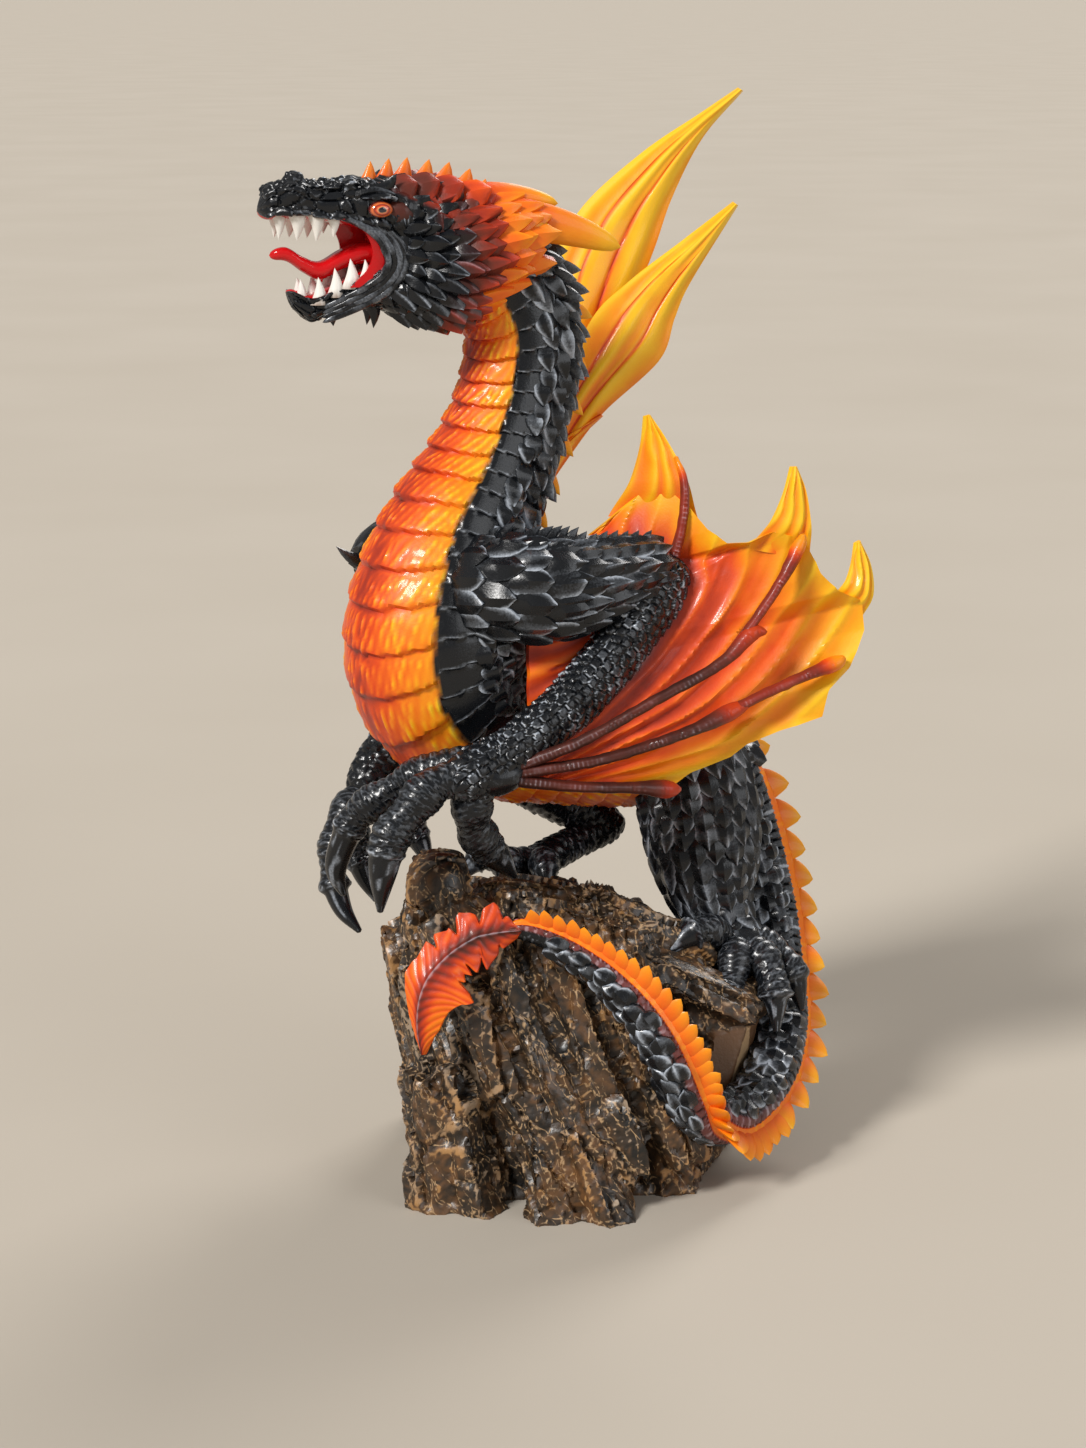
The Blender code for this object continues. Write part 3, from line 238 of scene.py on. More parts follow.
# along, up, half width, half height
SKULL = ((-8, 0.5, 12, 9), (6, 2, 12.6, 12), (16, 5.5, 12, 11), (24, 9, 11, 8.8),
         (30, 11.6, 10.4, 7.2), (37, 12.2, 8.6, 5.6), (45, 12.4, 7.4, 4.4), (51, 13.8, 7.4, 5.2),
         (57, 13, 5.8, 4.4), (61, 10.8, 2.6, 2.6))
JAW = ((1, -6, 11, 13), (9, -7.5, 11, 12.5), (17, -8, 10.5, 11), (25, -8, 9.5, 8.5), (32.5, -9.6, 7.6, 5),
       (41, -12.2, 6.2, 3.4), (47, -14.4, 5.2, 3.2), (51, -12.8, 3.8, 2.7), (53.8, -10.6, 1.6, 1.3))
TONGUE = ((22, -1.8, 5.4, 3.0), (32, -0.6, 5.0, 2.9), (38.5, -2.2, 4.4, 2.7), (44.5, -5.0, 3.8, 2.5),
          (49, -3.4, 3.2, 2.2), (53.5, -0.6, 2.4, 1.9), (58, -0.8, 1.2, 1.3))
# Teeth of one side: along, left, up of the root, length, radius
UPPER_TEETH = ((56, 3.4, 10, 6.5, 1.6), (51.5, 5.4, 9.8, 6.5, 1.9), (46.5, 6.2, 9.2, 6.2, 1.7),
               (42.0, 6.8, 8.6, 4.6, 1.4))
LOWER_TEETH = ((50.2, 2.3, -11.6, 4.6, 1.3), (45.8, 4.6, -12.2, 5.8, 1.6), (41.5, 5.4, -10.2, 6.2, 1.6),
               (37.4, 6.2, -8, 6.4, 1.7), (33.6, 7.0, -6, 4.2, 1.3))
# The crest along the middle of the head and nape: tip along, tip up, foot along, foot up, length
CREST = ((32, 21.5, 33.5, 17, 4.6), (27, 22.2, 29.5, 18, 4.8), (22, 22.4, 25, 18, 5.2),
         (16, 21.8, 19.5, 17.5, 5.6), (10.5, 21, 14.5, 16.5, 5.8), (4.8, 19.2, 9, 15.2, 6),
         (0.5, 16.4, 4, 12.5, 5.6))
EYE_PLACE = (30.5, 9.2, 11.4)
EYE_RADII = (3.3, 2.2, 2.2)
# Lumps of one side of the face: along, left, up, then radii and looks; and those along the snout
FACE_LUMPS = (
    ((21.0, 8.2, -1.0), (6.5, 3.4, 9.5), {"seed": 9, "rough": 0.2, "brush": 0.7, "rings": 40, "sides": 50}),
    ((25.6, 10.0, 10.2), (4.4, 2.0, 3.2), {"seed": 7, "rough": 0.1, "brush": 0.0, "heat": 0.12, "warm": 1.0}),
    ((31.0, 9.0, 14.2), (5.2, 3.0, 1.7), {"seed": 8, "rough": 0.3, "brush": 0.7}),
    ((51.0, 2.8, 18.2), (2.6, 2.2, 2.6), {"seed": 11, "rough": 0.2}),
    ((57.5, 2.4, 15.6), (2.6, 2.4, 2.0), {"seed": 12}),
)
SNOUT_LUMPS = ((46, 2.0), (41.5, 2.4), (37, 2.6), (33.5, 2.8))
# A lip fold: along and how far each next fold steps back, up and how far it rises, left, thickness
LIP_FOLD = ((42, 1, 10.0, 0.5, 7.0, 0.7), (36.5, 1, 8.2, 0.4, 8.4, 1.0), (31.5, 1, 5.0, 0, 9.6, 1.15),
            (28.5, 1, 0.5, 0, 10.2, 1.25), (28.3, 1, -4.2, 0, 10.0, 1.25), (32, 0.8, -8.0, -0.5, 8.8, 1.15),
            (38.5, 0.5, -11.4, -0.7, 7.2, 1.0), (45, 0, -14.6, -0.8, 5.2, 0.7))
LINING = ((16, -0.5, 9.0, 9.5), (24, 0.0, 9.0, 9.0), (29, 0.3, 8.6, 8.2), (31, 0.3, 6.5, 6.0))
# The front edge of the web in the mouth's corner: ahead of its reach, up
MOUTH_CORNER = ((7, 9.0), (2, 6.5), (-0.5, 3.0), (-1.2, -1.0), (0.8, -5.0), (5, -9.0))
# Spines under the chin: root and tip as along, left, up, then width and thickness
CHIN_SPINES = (((43.5, 0, -14), (41, 0, -20.0), 5.4, 5.0), ((33, 3.5, -11), (31.0, 4.2, -20.4), 5.8, 4.4),
               ((33, -3.5, -11), (31.0, -4.2, -20.4), 5.8, 4.4))
# The ruff: scales in each row on a side; plates over the brow (along, up, reach, heat); and the
# long locks (root along, left, up, tip along, left, up, width, heat)
RUFF_COUNTS = (13, 13, 12, 12, 11, 10, 9, 8, 7, 6)
BROW_PLATES = ((27, 14.2, 8, 0.10), (21.5, 14.6, 8.5, 0.13), (15.5, 13.8, 9, 0.18), (9, 12.4, 10, 0.34))
LOCKS = ((3, 3.6, 12.5, -20.5, 3.4, 11.5, 9.0, 0.40), (2, 6.0, 8.5, -37.5, 6.2, -0.4, 13.0, 0.44),
         (6, 9.0, 7.5, -19, 10.0, 3.6, 9.0, 0.44), (9, 11.5, 3.0, -13, 10.6, -1.5, 8.5, 0.46),
         (10, 11.8, -3.5, -8, 9.5, -9.0, 8.0, 0.48))

# The boulder on the plinth that the near hand grips: centre and radius
BOULDER = (-34.0, -16.0, 85.5, 10.8)
# The broken corner of the plinth: the middle of its flat face, x and z
CHIP = (48.5, 32.0)
# Layers of broken rock: blocks round the plinth, their height, their depth, seed
STRATA = ((24, 24.0, 2.2, 5), (48, 11.0, 1.1, 6), (110, 5.0, 0.32, 7))
STRATA_LEAN = math.radians(25)
ROCK_VOXEL = 1.02

# The camera, and the photograph's height and focal length in its own pixels
PICTURE_HEIGHT = 1448
FOCAL_PIXELS = 2900
SENSOR = 36.0
CAMERA_PLACE = (-0.0049, -0.784, 0.3245)
CAMERA_DOWN = 14.15
FLOOR_REACH = 150.0
WORLD_COLOUR = (0.98, 0.96, 0.93, 1.0)
WORLD_STRENGTH = 0.30
# Lamps: name, the way to the lamp, spread in degrees, strength, colour
LAMPS = (("window", (-0.75, -0.75, 0.85), 14, 3.3, (1.0, 0.98, 0.95)),
         ("fill", (0.95, -0.7, 0.45), 40, 0.8, (0.95, 0.97, 1.0)),
         ("rim", (0.5, 0.9, 0.9), 25, 1.6, (1.0, 0.98, 0.96)))


def vec(values):
    return np.array(values, dtype=float)


def unit(v):
    return v / np.maximum(np.linalg.norm(v, axis=-1, keepdims=True), 1e-12)


def smooth(x, low, high):
    t = np.clip((x - low) / (high - low), 0, 1)
    return t * t * (3 - 2 * t)


def hump(x, rise, top, fall, end):
    """A soft step up, from rise to top, and down again, from fall to end."""
    return smooth(x, rise, top) * (1 - smooth(x, fall, end))


def hashed(i, j, seed):
    """A repeatable number from 0 to 1 for each pair of whole numbers."""
    mixed = np.asarray(i).astype(np.int64) * 374761393 + np.asarray(j).astype(np.int64) * 668265263
    mixed = (mixed + seed * 974634777) & 0xFFFFFFFF
    mixed = ((mixed ^ (mixed >> 13)) * 1274126177) & 0xFFFFFFFF
    return ((mixed ^ (mixed >> 16)) & 0xFFFF) / 65535.0


# How far apart the layers of noise in space lie in the plane's noise
NOISE_LAYER = 7919


def noise2(x, y, seed, layer=0):
    """Soft value noise from 0 to 1 over the plane."""
    i, j = np.floor(x), np.floor(y)
    fx, fy = smooth(x - i, 0, 1), smooth(y - j, 0, 1)
    j = j + layer
    low = hashed(i, j, seed) * (1 - fx) + hashed(i + 1, j, seed) * fx
    high = hashed(i, j + 1, seed) * (1 - fx) + hashed(i + 1, j + 1, seed) * fx
    return low * (1 - fy) + high * fy


def noise3(p, seed):
    """Soft value noise from 0 to 1 in space."""
    k = np.floor(p[..., 2])
    fz = smooth(p[..., 2] - k, 0, 1)
    low, high = (noise2(p[..., 0], p[..., 1], seed, NOISE_LAYER * (k + step)) for step in (0, 1))
    return low * (1 - fz) + high * fz


def cells(a, b, jitter, seed, around=0, stretch=1.0):
    """A lattice of scales laid like bricks: the rim's nearness, the place in the scale, its number."""
    column = np.floor(b)
    best = np.full(np.broadcast(a, b).shape, 9.0)
    second, near_a, near_b, tone = best.copy(), best * 0, best * 0, best * 0
    for step_b in (-1, 0, 1):
        col = column + step_b
        shift = 0.5 * (col % 2)
        key = col % around if around else col
        first_row = np.floor(a - shift)
        for step_a in (-1, 0, 1):
            row = first_row + step_a
            da = a - (row + shift + 0.5 + jitter * (hashed(row, key, seed) - 0.5))
            db = b - (col + 0.5 + jitter * (hashed(row, key, seed + 1) - 0.5))
            reach = np.sqrt((da * stretch) ** 2 + db ** 2)
            closer = reach < best
            second = np.where(closer, best, np.minimum(second, reach))
            near_a = np.where(closer, da, near_a)
            near_b = np.where(closer, db, near_b)
            tone = np.where(closer, hashed(row, key, seed + 2), tone)
            best = np.where(closer, reach, best)
    return second - best, near_a, near_b, tone


def along_curve(rows, fractions):
    """Rows read at fractions of the length of a smooth curve through the given rows."""
    rows = np.array(rows, dtype=float)
    ends = np.vstack((2 * rows[0] - rows[1], rows, 2 * rows[-1] - rows[-2]))
    steps = np.linalg.norm(np.diff(rows[:, :3], axis=0), axis=1)
    reach = np.concatenate(((0.0,), np.cumsum(steps))) / steps.sum()
    fractions = np.asarray(fractions, dtype=float)
    i = np.clip(np.searchsorted(reach, fractions, side="right") - 1, 0, len(rows) - 2)
    t = ((fractions - reach[i]) / (reach[i + 1] - reach[i]))[:, None]
    a, b, c, d = ends[i], ends[i + 1], ends[i + 2], ends[i + 3]
    square = (2 * a - 5 * b + 4 * c - d) * t * t
    return 0.5 * (2 * b + (c - a) * t + square + (3 * b - a - 3 * c + d) * t ** 3)


class Stem:
    """A smooth stem through rows of x, y, z, half width, half depth and, if given, the back's direction."""

    def __init__(self, rows, hint=(0, 0, 1), samples=500):
        self.u = np.linspace(0, 1, samples)
        data = along_curve(rows, self.u)
        self.centre = data[:, :3]
        self.size = np.maximum(data[:, 3:5], 0.3)
        self.way = unit(np.gradient(self.centre, axis=0))
        self.back = data[:, 5:8] if data.shape[1] > 5 else self.carried(hint)
        self.back = unit(self.back - self.way * (self.back * self.way).sum(axis=1, keepdims=True))
        self.side = np.cross(self.back, self.way)
        steps = np.linalg.norm(np.diff(self.centre, axis=0), axis=1)
        self.reach = np.concatenate(((0.0,), np.cumsum(steps)))
        self.length = float(self.reach[-1])

    def carried(self, hint):
        back = vec(hint)
        result = []
        for way in self.way:
            back = unit(back - way * np.dot(back, way))
            result.append(back)
        return np.array(result)

    def read(self, table, u):
        return np.stack([np.interp(u, self.u, table[:, k]) for k in range(table.shape[1])], axis=-1)

    def at(self, u, angle):
        """Points, outward normals, directions along and half sizes, by fraction and angle from the back."""
        u, angle = np.broadcast_arrays(np.asarray(u, float), np.asarray(angle, float))
        centre, back, side = (self.read(v, u) for v in (self.centre, self.back, self.side))
        size = self.read(self.size, u)
        sin, cos = np.sin(angle)[..., None], np.cos(angle)[..., None]
        point = centre + side * sin * size[..., :1] + back * cos * size[..., 1:]
        normal = unit(side * sin * size[..., 1:] + back * cos * size[..., :1])
        return point, normal, self.read(self.way, u), size

    def along(self, u):
        return np.interp(u, self.u, self.reach)


# The names that the paint values have on a mesh, with heat as tint
CHANNELS = ("tint", "warm", "relief", "wet")
# Angles in degrees past which an edge stays sharp
CAST_CREASE = 38
ROCK_CREASE = 42


def paint(shape, heat=0.0, warm=0.0, relief=0.0, wet=0.0):
    """The four paint values of each point."""
    values = (np.broadcast_to(np.asarray(v, float), shape) for v in (heat, warm, relief, wet))
    return np.stack(list(values), axis=-1)


class Skin:
    """Closed skins gathered for one object."""

    def __init__(self):
        self.points, self.values, self.quads, self.tris, self.count = [], [], [], [], 0

    def add(self, points, values, quads, tris=()):
        points = np.asarray(points, float).reshape(-1, 3)
        quads = np.asarray(quads, np.int64).reshape(-1, 4)
        tris = np.asarray(tris, np.int64).reshape(-1, 3)
        corners = np.vstack((quads[:, :3], quads[:, (0, 2, 3)], tris))
        a, b, c = (points[corners[:, k]] - points.mean(axis=0) for k in range(3))
        if (a * np.cross(b, c)).sum() < 0:
            quads, tris = quads[:, ::-1], tris[:, ::-1]
        self.points.append(points)
        self.values.append(np.asarray(values, float).reshape(-1, 4))
        self.quads.append(quads + self.count)
        self.tris.append(tris + self.count)
        self.count += len(points)

    def tube(self, points, values):
        """Rings of points, closed at both ends."""
        rows, sides = points.shape[:2]
        flat = points.reshape(-1, 3)
        points = np.vstack((flat, points[0].mean(axis=0), points[-1].mean(axis=0)))
        values = np.vstack((values.reshape(-1, 4), values[0].mean(axis=0), values[-1].mean(axis=0)))
        j = np.arange(sides)
        k = (j + 1) % sides
        first, last = rows * sides, rows * sides + 1
        start = np.stack((np.full(sides, first), k, j), axis=-1)
        base = (rows - 1) * sides
        end = np.stack((np.full(sides, last), base + j, base + k), axis=-1)
        self.add(points, values, grid_faces(rows, sides, True), np.vstack((start, end)))

    def sheet(self, front, back, values):
        """Two grids of points joined round their border."""
        rows, columns = front.shape[:2]
        size = rows * columns
        faces = grid_faces(rows, columns, False)
        border = border_of(rows, columns)
        after = np.roll(border, -1)
        wall = np.stack((border, border + size, after + size, after), axis=-1)
        points = np.vstack((front.reshape(-1, 3), back.reshape(-1, 3)))
        values = np.vstack((values.reshape(-1, 4), values.reshape(-1, 4)))
        self.add(points, values, np.vstack((faces[:, ::-1], faces + size, wall)))

    def build(self, name, material):
        """One piece of the dragon, from all that was gathered."""
        quads, tris = np.vstack(self.quads), np.vstack(self.tris)
        corners = np.concatenate((quads.ravel(), tris.ravel()))
        starts = np.concatenate((np.arange(len(quads)) * 4, quads.size + np.arange(len(tris)) * 3))
        mesh = bpy.data.meshes.new(name)
        mesh.vertices.add(self.count)
        mesh.vertices.foreach_set("co", (np.vstack(self.points) * MM).astype(np.float32).ravel())
        mesh.loops.add(len(corners))
        mesh.loops.foreach_set("vertex_index", corners.astype(np.int32))
        mesh.polygons.add(len(starts))
        mesh.polygons.foreach_set("loop_start", starts.astype(np.int32))
        set_channels(mesh, np.vstack(self.values).T)
        mesh.update()
        mesh.validate()
        place_piece(name, mesh, material, CAST_CREASE, "dragon")


def set_channels(mesh, values):
    for channel, value in zip(CHANNELS, values):
        layer = mesh.attributes.new(channel, "FLOAT", "POINT")
        layer.data.foreach_set("value", value.astype(np.float32))


def place_piece(name, mesh, material, crease, node):
    """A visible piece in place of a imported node, with sharp edges past the crease's angle."""
    mesh.materials.append(material)
    mesh.shade_smooth()
    mesh.set_sharp_from_angle(angle=math.radians(crease))
    thing = bpy.data.objects.new(name, mesh)
    bpy.context.scene.collection.objects.link(thing)
    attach(thing, "root")
    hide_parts(node)
    print("PIECE", name, len(mesh.loops) - 2 * len(mesh.polygons))


def grid_faces(rows, columns, wrap):
    i = np.arange(rows - 1)[:, None]
    j = np.arange(columns if wrap else columns - 1)[None, :]
    k = (j + 1) % columns
    faces = (i * columns + j, i * columns + k, (i + 1) * columns + k, (i + 1) * columns + j)
    return np.stack(np.broadcast_arrays(*faces), axis=-1).reshape(-1, 4)


def border_of(rows, columns):
    down = np.arange(rows) * columns
    bottom = (rows - 1) * columns + np.arange(1, columns)
    up = np.arange(rows - 2, -1, -1) * columns + columns - 1
    top = np.arange(columns - 2, 0, -1)
    return np.concatenate((down, bottom, up, top))


def rounded(u, start, end):
    """How much a stem's girth draws in over its first and last shares."""
    grow = np.ones_like(u)
    if start:
        grow = grow * np.sqrt(np.clip(1 - (1 - np.clip(u / start, 0, 1)) ** 2, 0.0004, 1))
    if end:
        grow = grow * np.sqrt(np.clip(1 - (1 - np.clip((1 - u) / end, 0, 1)) ** 2, 0.0004, 1))
    return grow


def turned(sides):
    """Angles all round, as one row."""
    return (np.arange(sides) * 2 * math.pi / sides)[None, :]


class Rings:
    """Rings round a stem: fractions, angles, distance along, points, normals, half sizes, centres."""

    def __init__(self, stem, rings, sides, first=0.0, last=1.0):
        self.u, self.angle = np.broadcast_arrays(np.linspace(first, last, rings)[:, None], turned(sides))
        self.point, self.normal, _, self.size = stem.at(self.u, self.angle)
        self.s = stem.along(self.u)
        self.centre = stem.read(stem.centre, self.u)

    def raised(self, height, draw):
        """The skin's points, raised from the rings and drawn in towards the middle."""
        out = self.point + self.normal * height[..., None] - self.centre
        return self.centre + out * draw[..., None]


PLATE_ROWS = 7
PLATE_COLUMNS = 5


def plates(skin, roots, tips, outs, widths, thickness, lift=0.6, heat=(0.0, 0.0), warm=0.0, blunt=0.0,
           keel=0.5, seed=5, brush=0.9):
    """Overlapping scales, each a closed leaf from its root to its tip, keeled and raised at the tip."""
    roots, tips, outs = (np.asarray(v, float).reshape(-1, 3) for v in (roots, tips, outs))
    count = len(roots)
    if not count:
        return
    widths, thickness = (np.broadcast_to(np.asarray(v, float), (count,))[:, None, None, None]
                         for v in (widths, thickness))
    axis = (tips - roots)[:, None, None, :]
    out = outs[:, None, None, :]
    side = unit(np.cross(out, axis))
    out = unit(np.cross(axis, side))
    x = np.linspace(0, 1, PLATE_ROWS)[None, :, None, None]
    y = np.linspace(-1, 1, PLATE_COLUMNS)[None, None, :, None]
    point = np.cos(math.pi / 2 * np.clip((x - 0.3) / 0.7, 0, 1) ** (1.1 + 2.4 * blunt))
    outline = (0.72 + 0.28 * np.sin(math.pi / 2 * np.clip(x / 0.3, 0, 1))) * np.maximum(point, 0.06)
    rise = smooth(x, -0.25, 0.45)
    crown = 0.55 + 0.45 * (1 - y * y) + keel * (1 - np.abs(y)) ** 2 * point
    height = thickness * rise * crown + lift * x ** 1.6 * rise
    wide = y * outline * widths / 2
    sag = 0.10 * wide * wide / np.maximum(widths, 1)
    top = roots[:, None, None, :] + axis * x + side * wide + out * (height - sag)
    rim = border_of(PLATE_ROWS, PLATE_COLUMNS)
    low = (top - out * (thickness * 1.5 + 0.25)).reshape(count, -1, 3)[:, rim]
    floor = low.mean(axis=1, keepdims=True)
    points = np.concatenate((top.reshape(count, -1, 3), low, floor), axis=1)
    number = np.arange(count)[:, None, None]
    streak = noise2(y[..., 0] * 3.2 + number * 7.7, x[..., 0] * 1.3 + number * 3.1, seed)
    edge = np.maximum(np.abs(y[..., 0]) ** 8, x[..., 0] ** 8)
    ridge = (1 - np.abs(y[..., 0])) ** 4 * keel
    caught = (0.6 * edge + 0.3 * ridge) * (0.4 + streak) + 0.42 * smooth(streak, 0.45, 0.8)
    relief = np.clip(brush * caught, 0, 1)
    warmth = heat[0] + (heat[1] - heat[0]) * x[..., 0]
    top_paint = paint((count, PLATE_ROWS, PLATE_COLUMNS), warmth, warm, relief).reshape(count, -1, 4)
    # The underside, and the walls down to it from the rim, are painted darker than the top as painted shade, and
    # they get no dry brush.
    under = paint((count, len(rim) + 1), heat[0] - 0.15, warm, 0.0)
    values = np.concatenate((top_paint, under), axis=1)
    size, each = PLATE_ROWS * PLATE_COLUMNS, points.shape[1]
    j = np.arange(len(rim))
    wall = np.stack((rim, size + j, size + np.roll(j, -1), np.roll(rim, -1)), axis=-1)
    quads = np.vstack((grid_faces(PLATE_ROWS, PLATE_COLUMNS, False)[:, ::-1], wall))
    fan = np.stack((size + j, np.full(len(rim), each - 1), size + np.roll(j, -1)), axis=-1)
    offset = (np.arange(count) * each)[:, None, None]
    skin.add(points, values, quads[None] + offset, fan[None] + offset)


def horns(skin, roots, tips, spreads, widths, thickness, curl=0.15, heat=(0.5, 0.8), warm=1.0, rings=7,
          sides=8, blunt=0.12, relief=0.5):
    """Curved thorns and fins with an oval foot."""
    roots, tips, spreads = (np.asarray(v, float).reshape(-1, 3) for v in (roots, tips, spreads))
    widths = np.broadcast_to(widths, (len(roots),))
    thickness = np.broadcast_to(thickness, (len(roots),))
    for root, tip, spread, width, thick in zip(roots, tips, spreads, widths, thickness):
        axis = tip - root
        spread = unit(spread - unit(axis) * np.dot(unit(axis), spread))
        side = np.cross(unit(axis), spread)
        t = np.linspace(0, 1, rings)[:, None, None]
        a = turned(sides)[..., None]
        girth = (1 - t ** 1.25) * (1 - blunt) + blunt * np.sqrt(np.clip(1 - t ** 6, 0, 1)) + 0.004
        bow = -np.sin(math.pi * t) * curl * np.linalg.norm(axis)
        across = np.sign(np.sin(a)) * np.abs(np.sin(a)) ** 1.3
        points = root + axis * t + spread * (np.cos(a) * width / 2 * girth + bow)
        points = points + side * across * thick / 2 * girth
        shade = heat[0] + (heat[1] - heat[0]) * t[..., 0]
        caught = relief * t[..., 0] + 0.1 * np.abs(np.cos(a[..., 0]))
        skin.tube(points, paint((rings, sides), shade, warm, caught))


class Graph:
    """A new material, and short ways to add nodes to it."""

    def __init__(self, name):
        self.material = bpy.data.materials.new(name)
        self.material.use_nodes = True
        tree = self.material.node_tree
        self.nodes, self.links, self.shader = tree.nodes, tree.links, tree.nodes["Principled BSDF"]

    def node(self, kind, inputs=None, **settings):
        made = self.nodes.new("ShaderNode" + kind)
        for key, value in settings.items():
            setattr(made, key, value)
        self.feed(made, inputs or {})
        return made

    def feed(self, node, inputs):
        """Give a node's sockets numbers, vectors, colours or other nodes' outputs."""
        for name, value in inputs.items():
            self.plug(node.inputs[name], value)

    def plug(self, socket, value):
        if isinstance(value, (int, float)):
            socket.default_value = value
        elif isinstance(value, tuple):
            socket.default_value = value if len(socket.default_value) == len(value) else (*value, 1.0)
        else:
            self.links.new(value, socket)

    def ramp(self, source, stops):
        made = self.node("ValToRGB", {"Fac": source})
        elements = made.color_ramp.elements
        while len(elements) < len(stops):
            elements.new(0.5)
        for element, (place, colour) in zip(elements, stops):
            element.position = place
            element.color = (*colour, 1.0)
        return made.outputs["Color"]

    def mask(self, source, low, high):
        return self.ramp(source, ((low, NONE), (high, FULL)))

    def math(self, operation, first, second=0.0, third=0.0, clamp=False):
        inputs = {0: first, 1: second, 2: third}
        return self.node("Math", inputs, operation=operation, use_clamp=clamp).outputs["Value"]

    def mix(self, factor, first, second, mode="MIX"):
        made = self.node("Mix", data_type="RGBA", blend_type=mode)
        for name, kind, value in (("Factor", "VALUE", factor), ("A", "RGBA", first), ("B", "RGBA", second)):
            self.plug(next(s for s in made.inputs if s.name == name and s.type == kind), value)
        return next(s for s in made.outputs if s.type == "RGBA")

    def place(self):
        return self.node("TexCoord").outputs["Object"]

    def noise(self, scale, detail=3.0, stretch=None, output="Fac"):
        """Procedural noise in millimetres of the model."""
        place = self.place()
        if stretch:
            place = self.node("Mapping", {"Scale": stretch, "Vector": place}).outputs["Vector"]
        inputs = {"Scale": scale / MM, "Detail": detail, "Vector": place}
        return self.node("TexNoise", inputs).outputs[output]

    def attribute(self, name):
        return self.node("Attribute", attribute_name=name).outputs["Fac"]

    def bump(self, height, strength, distance):
        inputs = {"Strength": strength, "Distance": distance * MM, "Height": height}
        return self.node("Bump", inputs).outputs["Normal"]

    def shaded(self, inputs):
        """The finished material, its shader fed."""
        self.feed(self.shader, inputs)
        return self.material


NONE, FULL = (0, 0, 0), (1, 1, 1)
BLACK_PAINT, SILVER_PAINT, MOUTH_GLAZE = (0.005, 0.006, 0.008), (0.38, 0.42, 0.48), (0.55, 0.006, 0.008)
WARM_RAMP = ((0.0, (0.035, 0.009, 0.006)), (0.14, (0.13, 0.020, 0.010)), (0.27, (0.34, 0.024, 0.006)),
             (0.42, (0.66, 0.060, 0.003)), (0.56, (0.82, 0.150, 0.003)), (0.70, (0.87, 0.265, 0.004)),
             (0.85, (0.88, 0.410, 0.006)), (1.0, (0.90, 0.530, 0.012)))
SILVER_RAMP = ((0.42, NONE), (0.64, (0.16, 0.16, 0.16)), (0.92, FULL))
ROCK_RAMP = ((0.50, (0.007, 0.006, 0.005)), (0.74, (0.036, 0.021, 0.011)), (1.0, (0.13, 0.060, 0.022)))
GOLD_RAMP = ((0.38, (0.30, 0.22, 0.15)), (0.58, (0.36, 0.19, 0.07)))
GOLD_LINE, CHIP_BROWN, CHIP_TAN = (0.42, 0.27, 0.14), (0.13, 0.065, 0.03), (0.50, 0.33, 0.18)
TOOTH_RAMP = ((0.12, (0.30, 0.22, 0.17)), (0.45, (0.80, 0.77, 0.72)))
EYE_RAMP = ((0.26, (0.01, 0.01, 0.02)), (0.33, (0.75, 0.30, 0.12)), (0.40, (0.70, 0.07, 0.01)),
            (0.52, (0.20, 0.01, 0.008)), (0.66, (0.75, 0.16, 0.03)), (0.90, (0.10, 0.008, 0.006)))
FLOOR_RAMP = ((0.3, (0.43, 0.385, 0.325)), (0.7, (0.45, 0.405, 0.345)))


def dragon_paint():
    """Black gloss with silver dry brush, and red to yellow where warm, from the painted values."""
    net = Graph("dragon_paint")
    blotch, grain = net.noise(0.12), net.noise(1.6, detail=4.0)
    heat, warm, relief, wet = (net.attribute(name) for name in CHANNELS)
    varied = net.math("MULTIPLY_ADD", blotch, 0.24, heat)
    varied = net.math("MULTIPLY_ADD", relief, 0.16, varied)
    varied = net.math("SUBTRACT", varied, 0.20, clamp=True)
    brushed = net.math("MULTIPLY_ADD", grain, 0.34, net.math("MULTIPLY", relief, 0.8))
    colour = net.mix(net.ramp(brushed, SILVER_RAMP), BLACK_PAINT, SILVER_PAINT)
    colour = net.mix(warm, colour, net.ramp(varied, WARM_RAMP))
    colour = net.mix(wet, colour, MOUTH_GLAZE)
    rough = net.math("MULTIPLY_ADD", grain, 0.16, 0.2)
    rough = net.math("MULTIPLY_ADD", warm, 0.2, rough)
    rough = net.math("MULTIPLY_ADD", wet, -0.18, rough, clamp=True)
    height = net.math("MULTIPLY_ADD", blotch, 0.5, grain)
    return net.shaded({"Base Color": colour, "Roughness": rough, "Specular IOR Level": 0.32,
                       "Coat Weight": 0.2, "Coat Roughness": 0.12, "Normal": net.bump(height, 0.25, 0.25)})


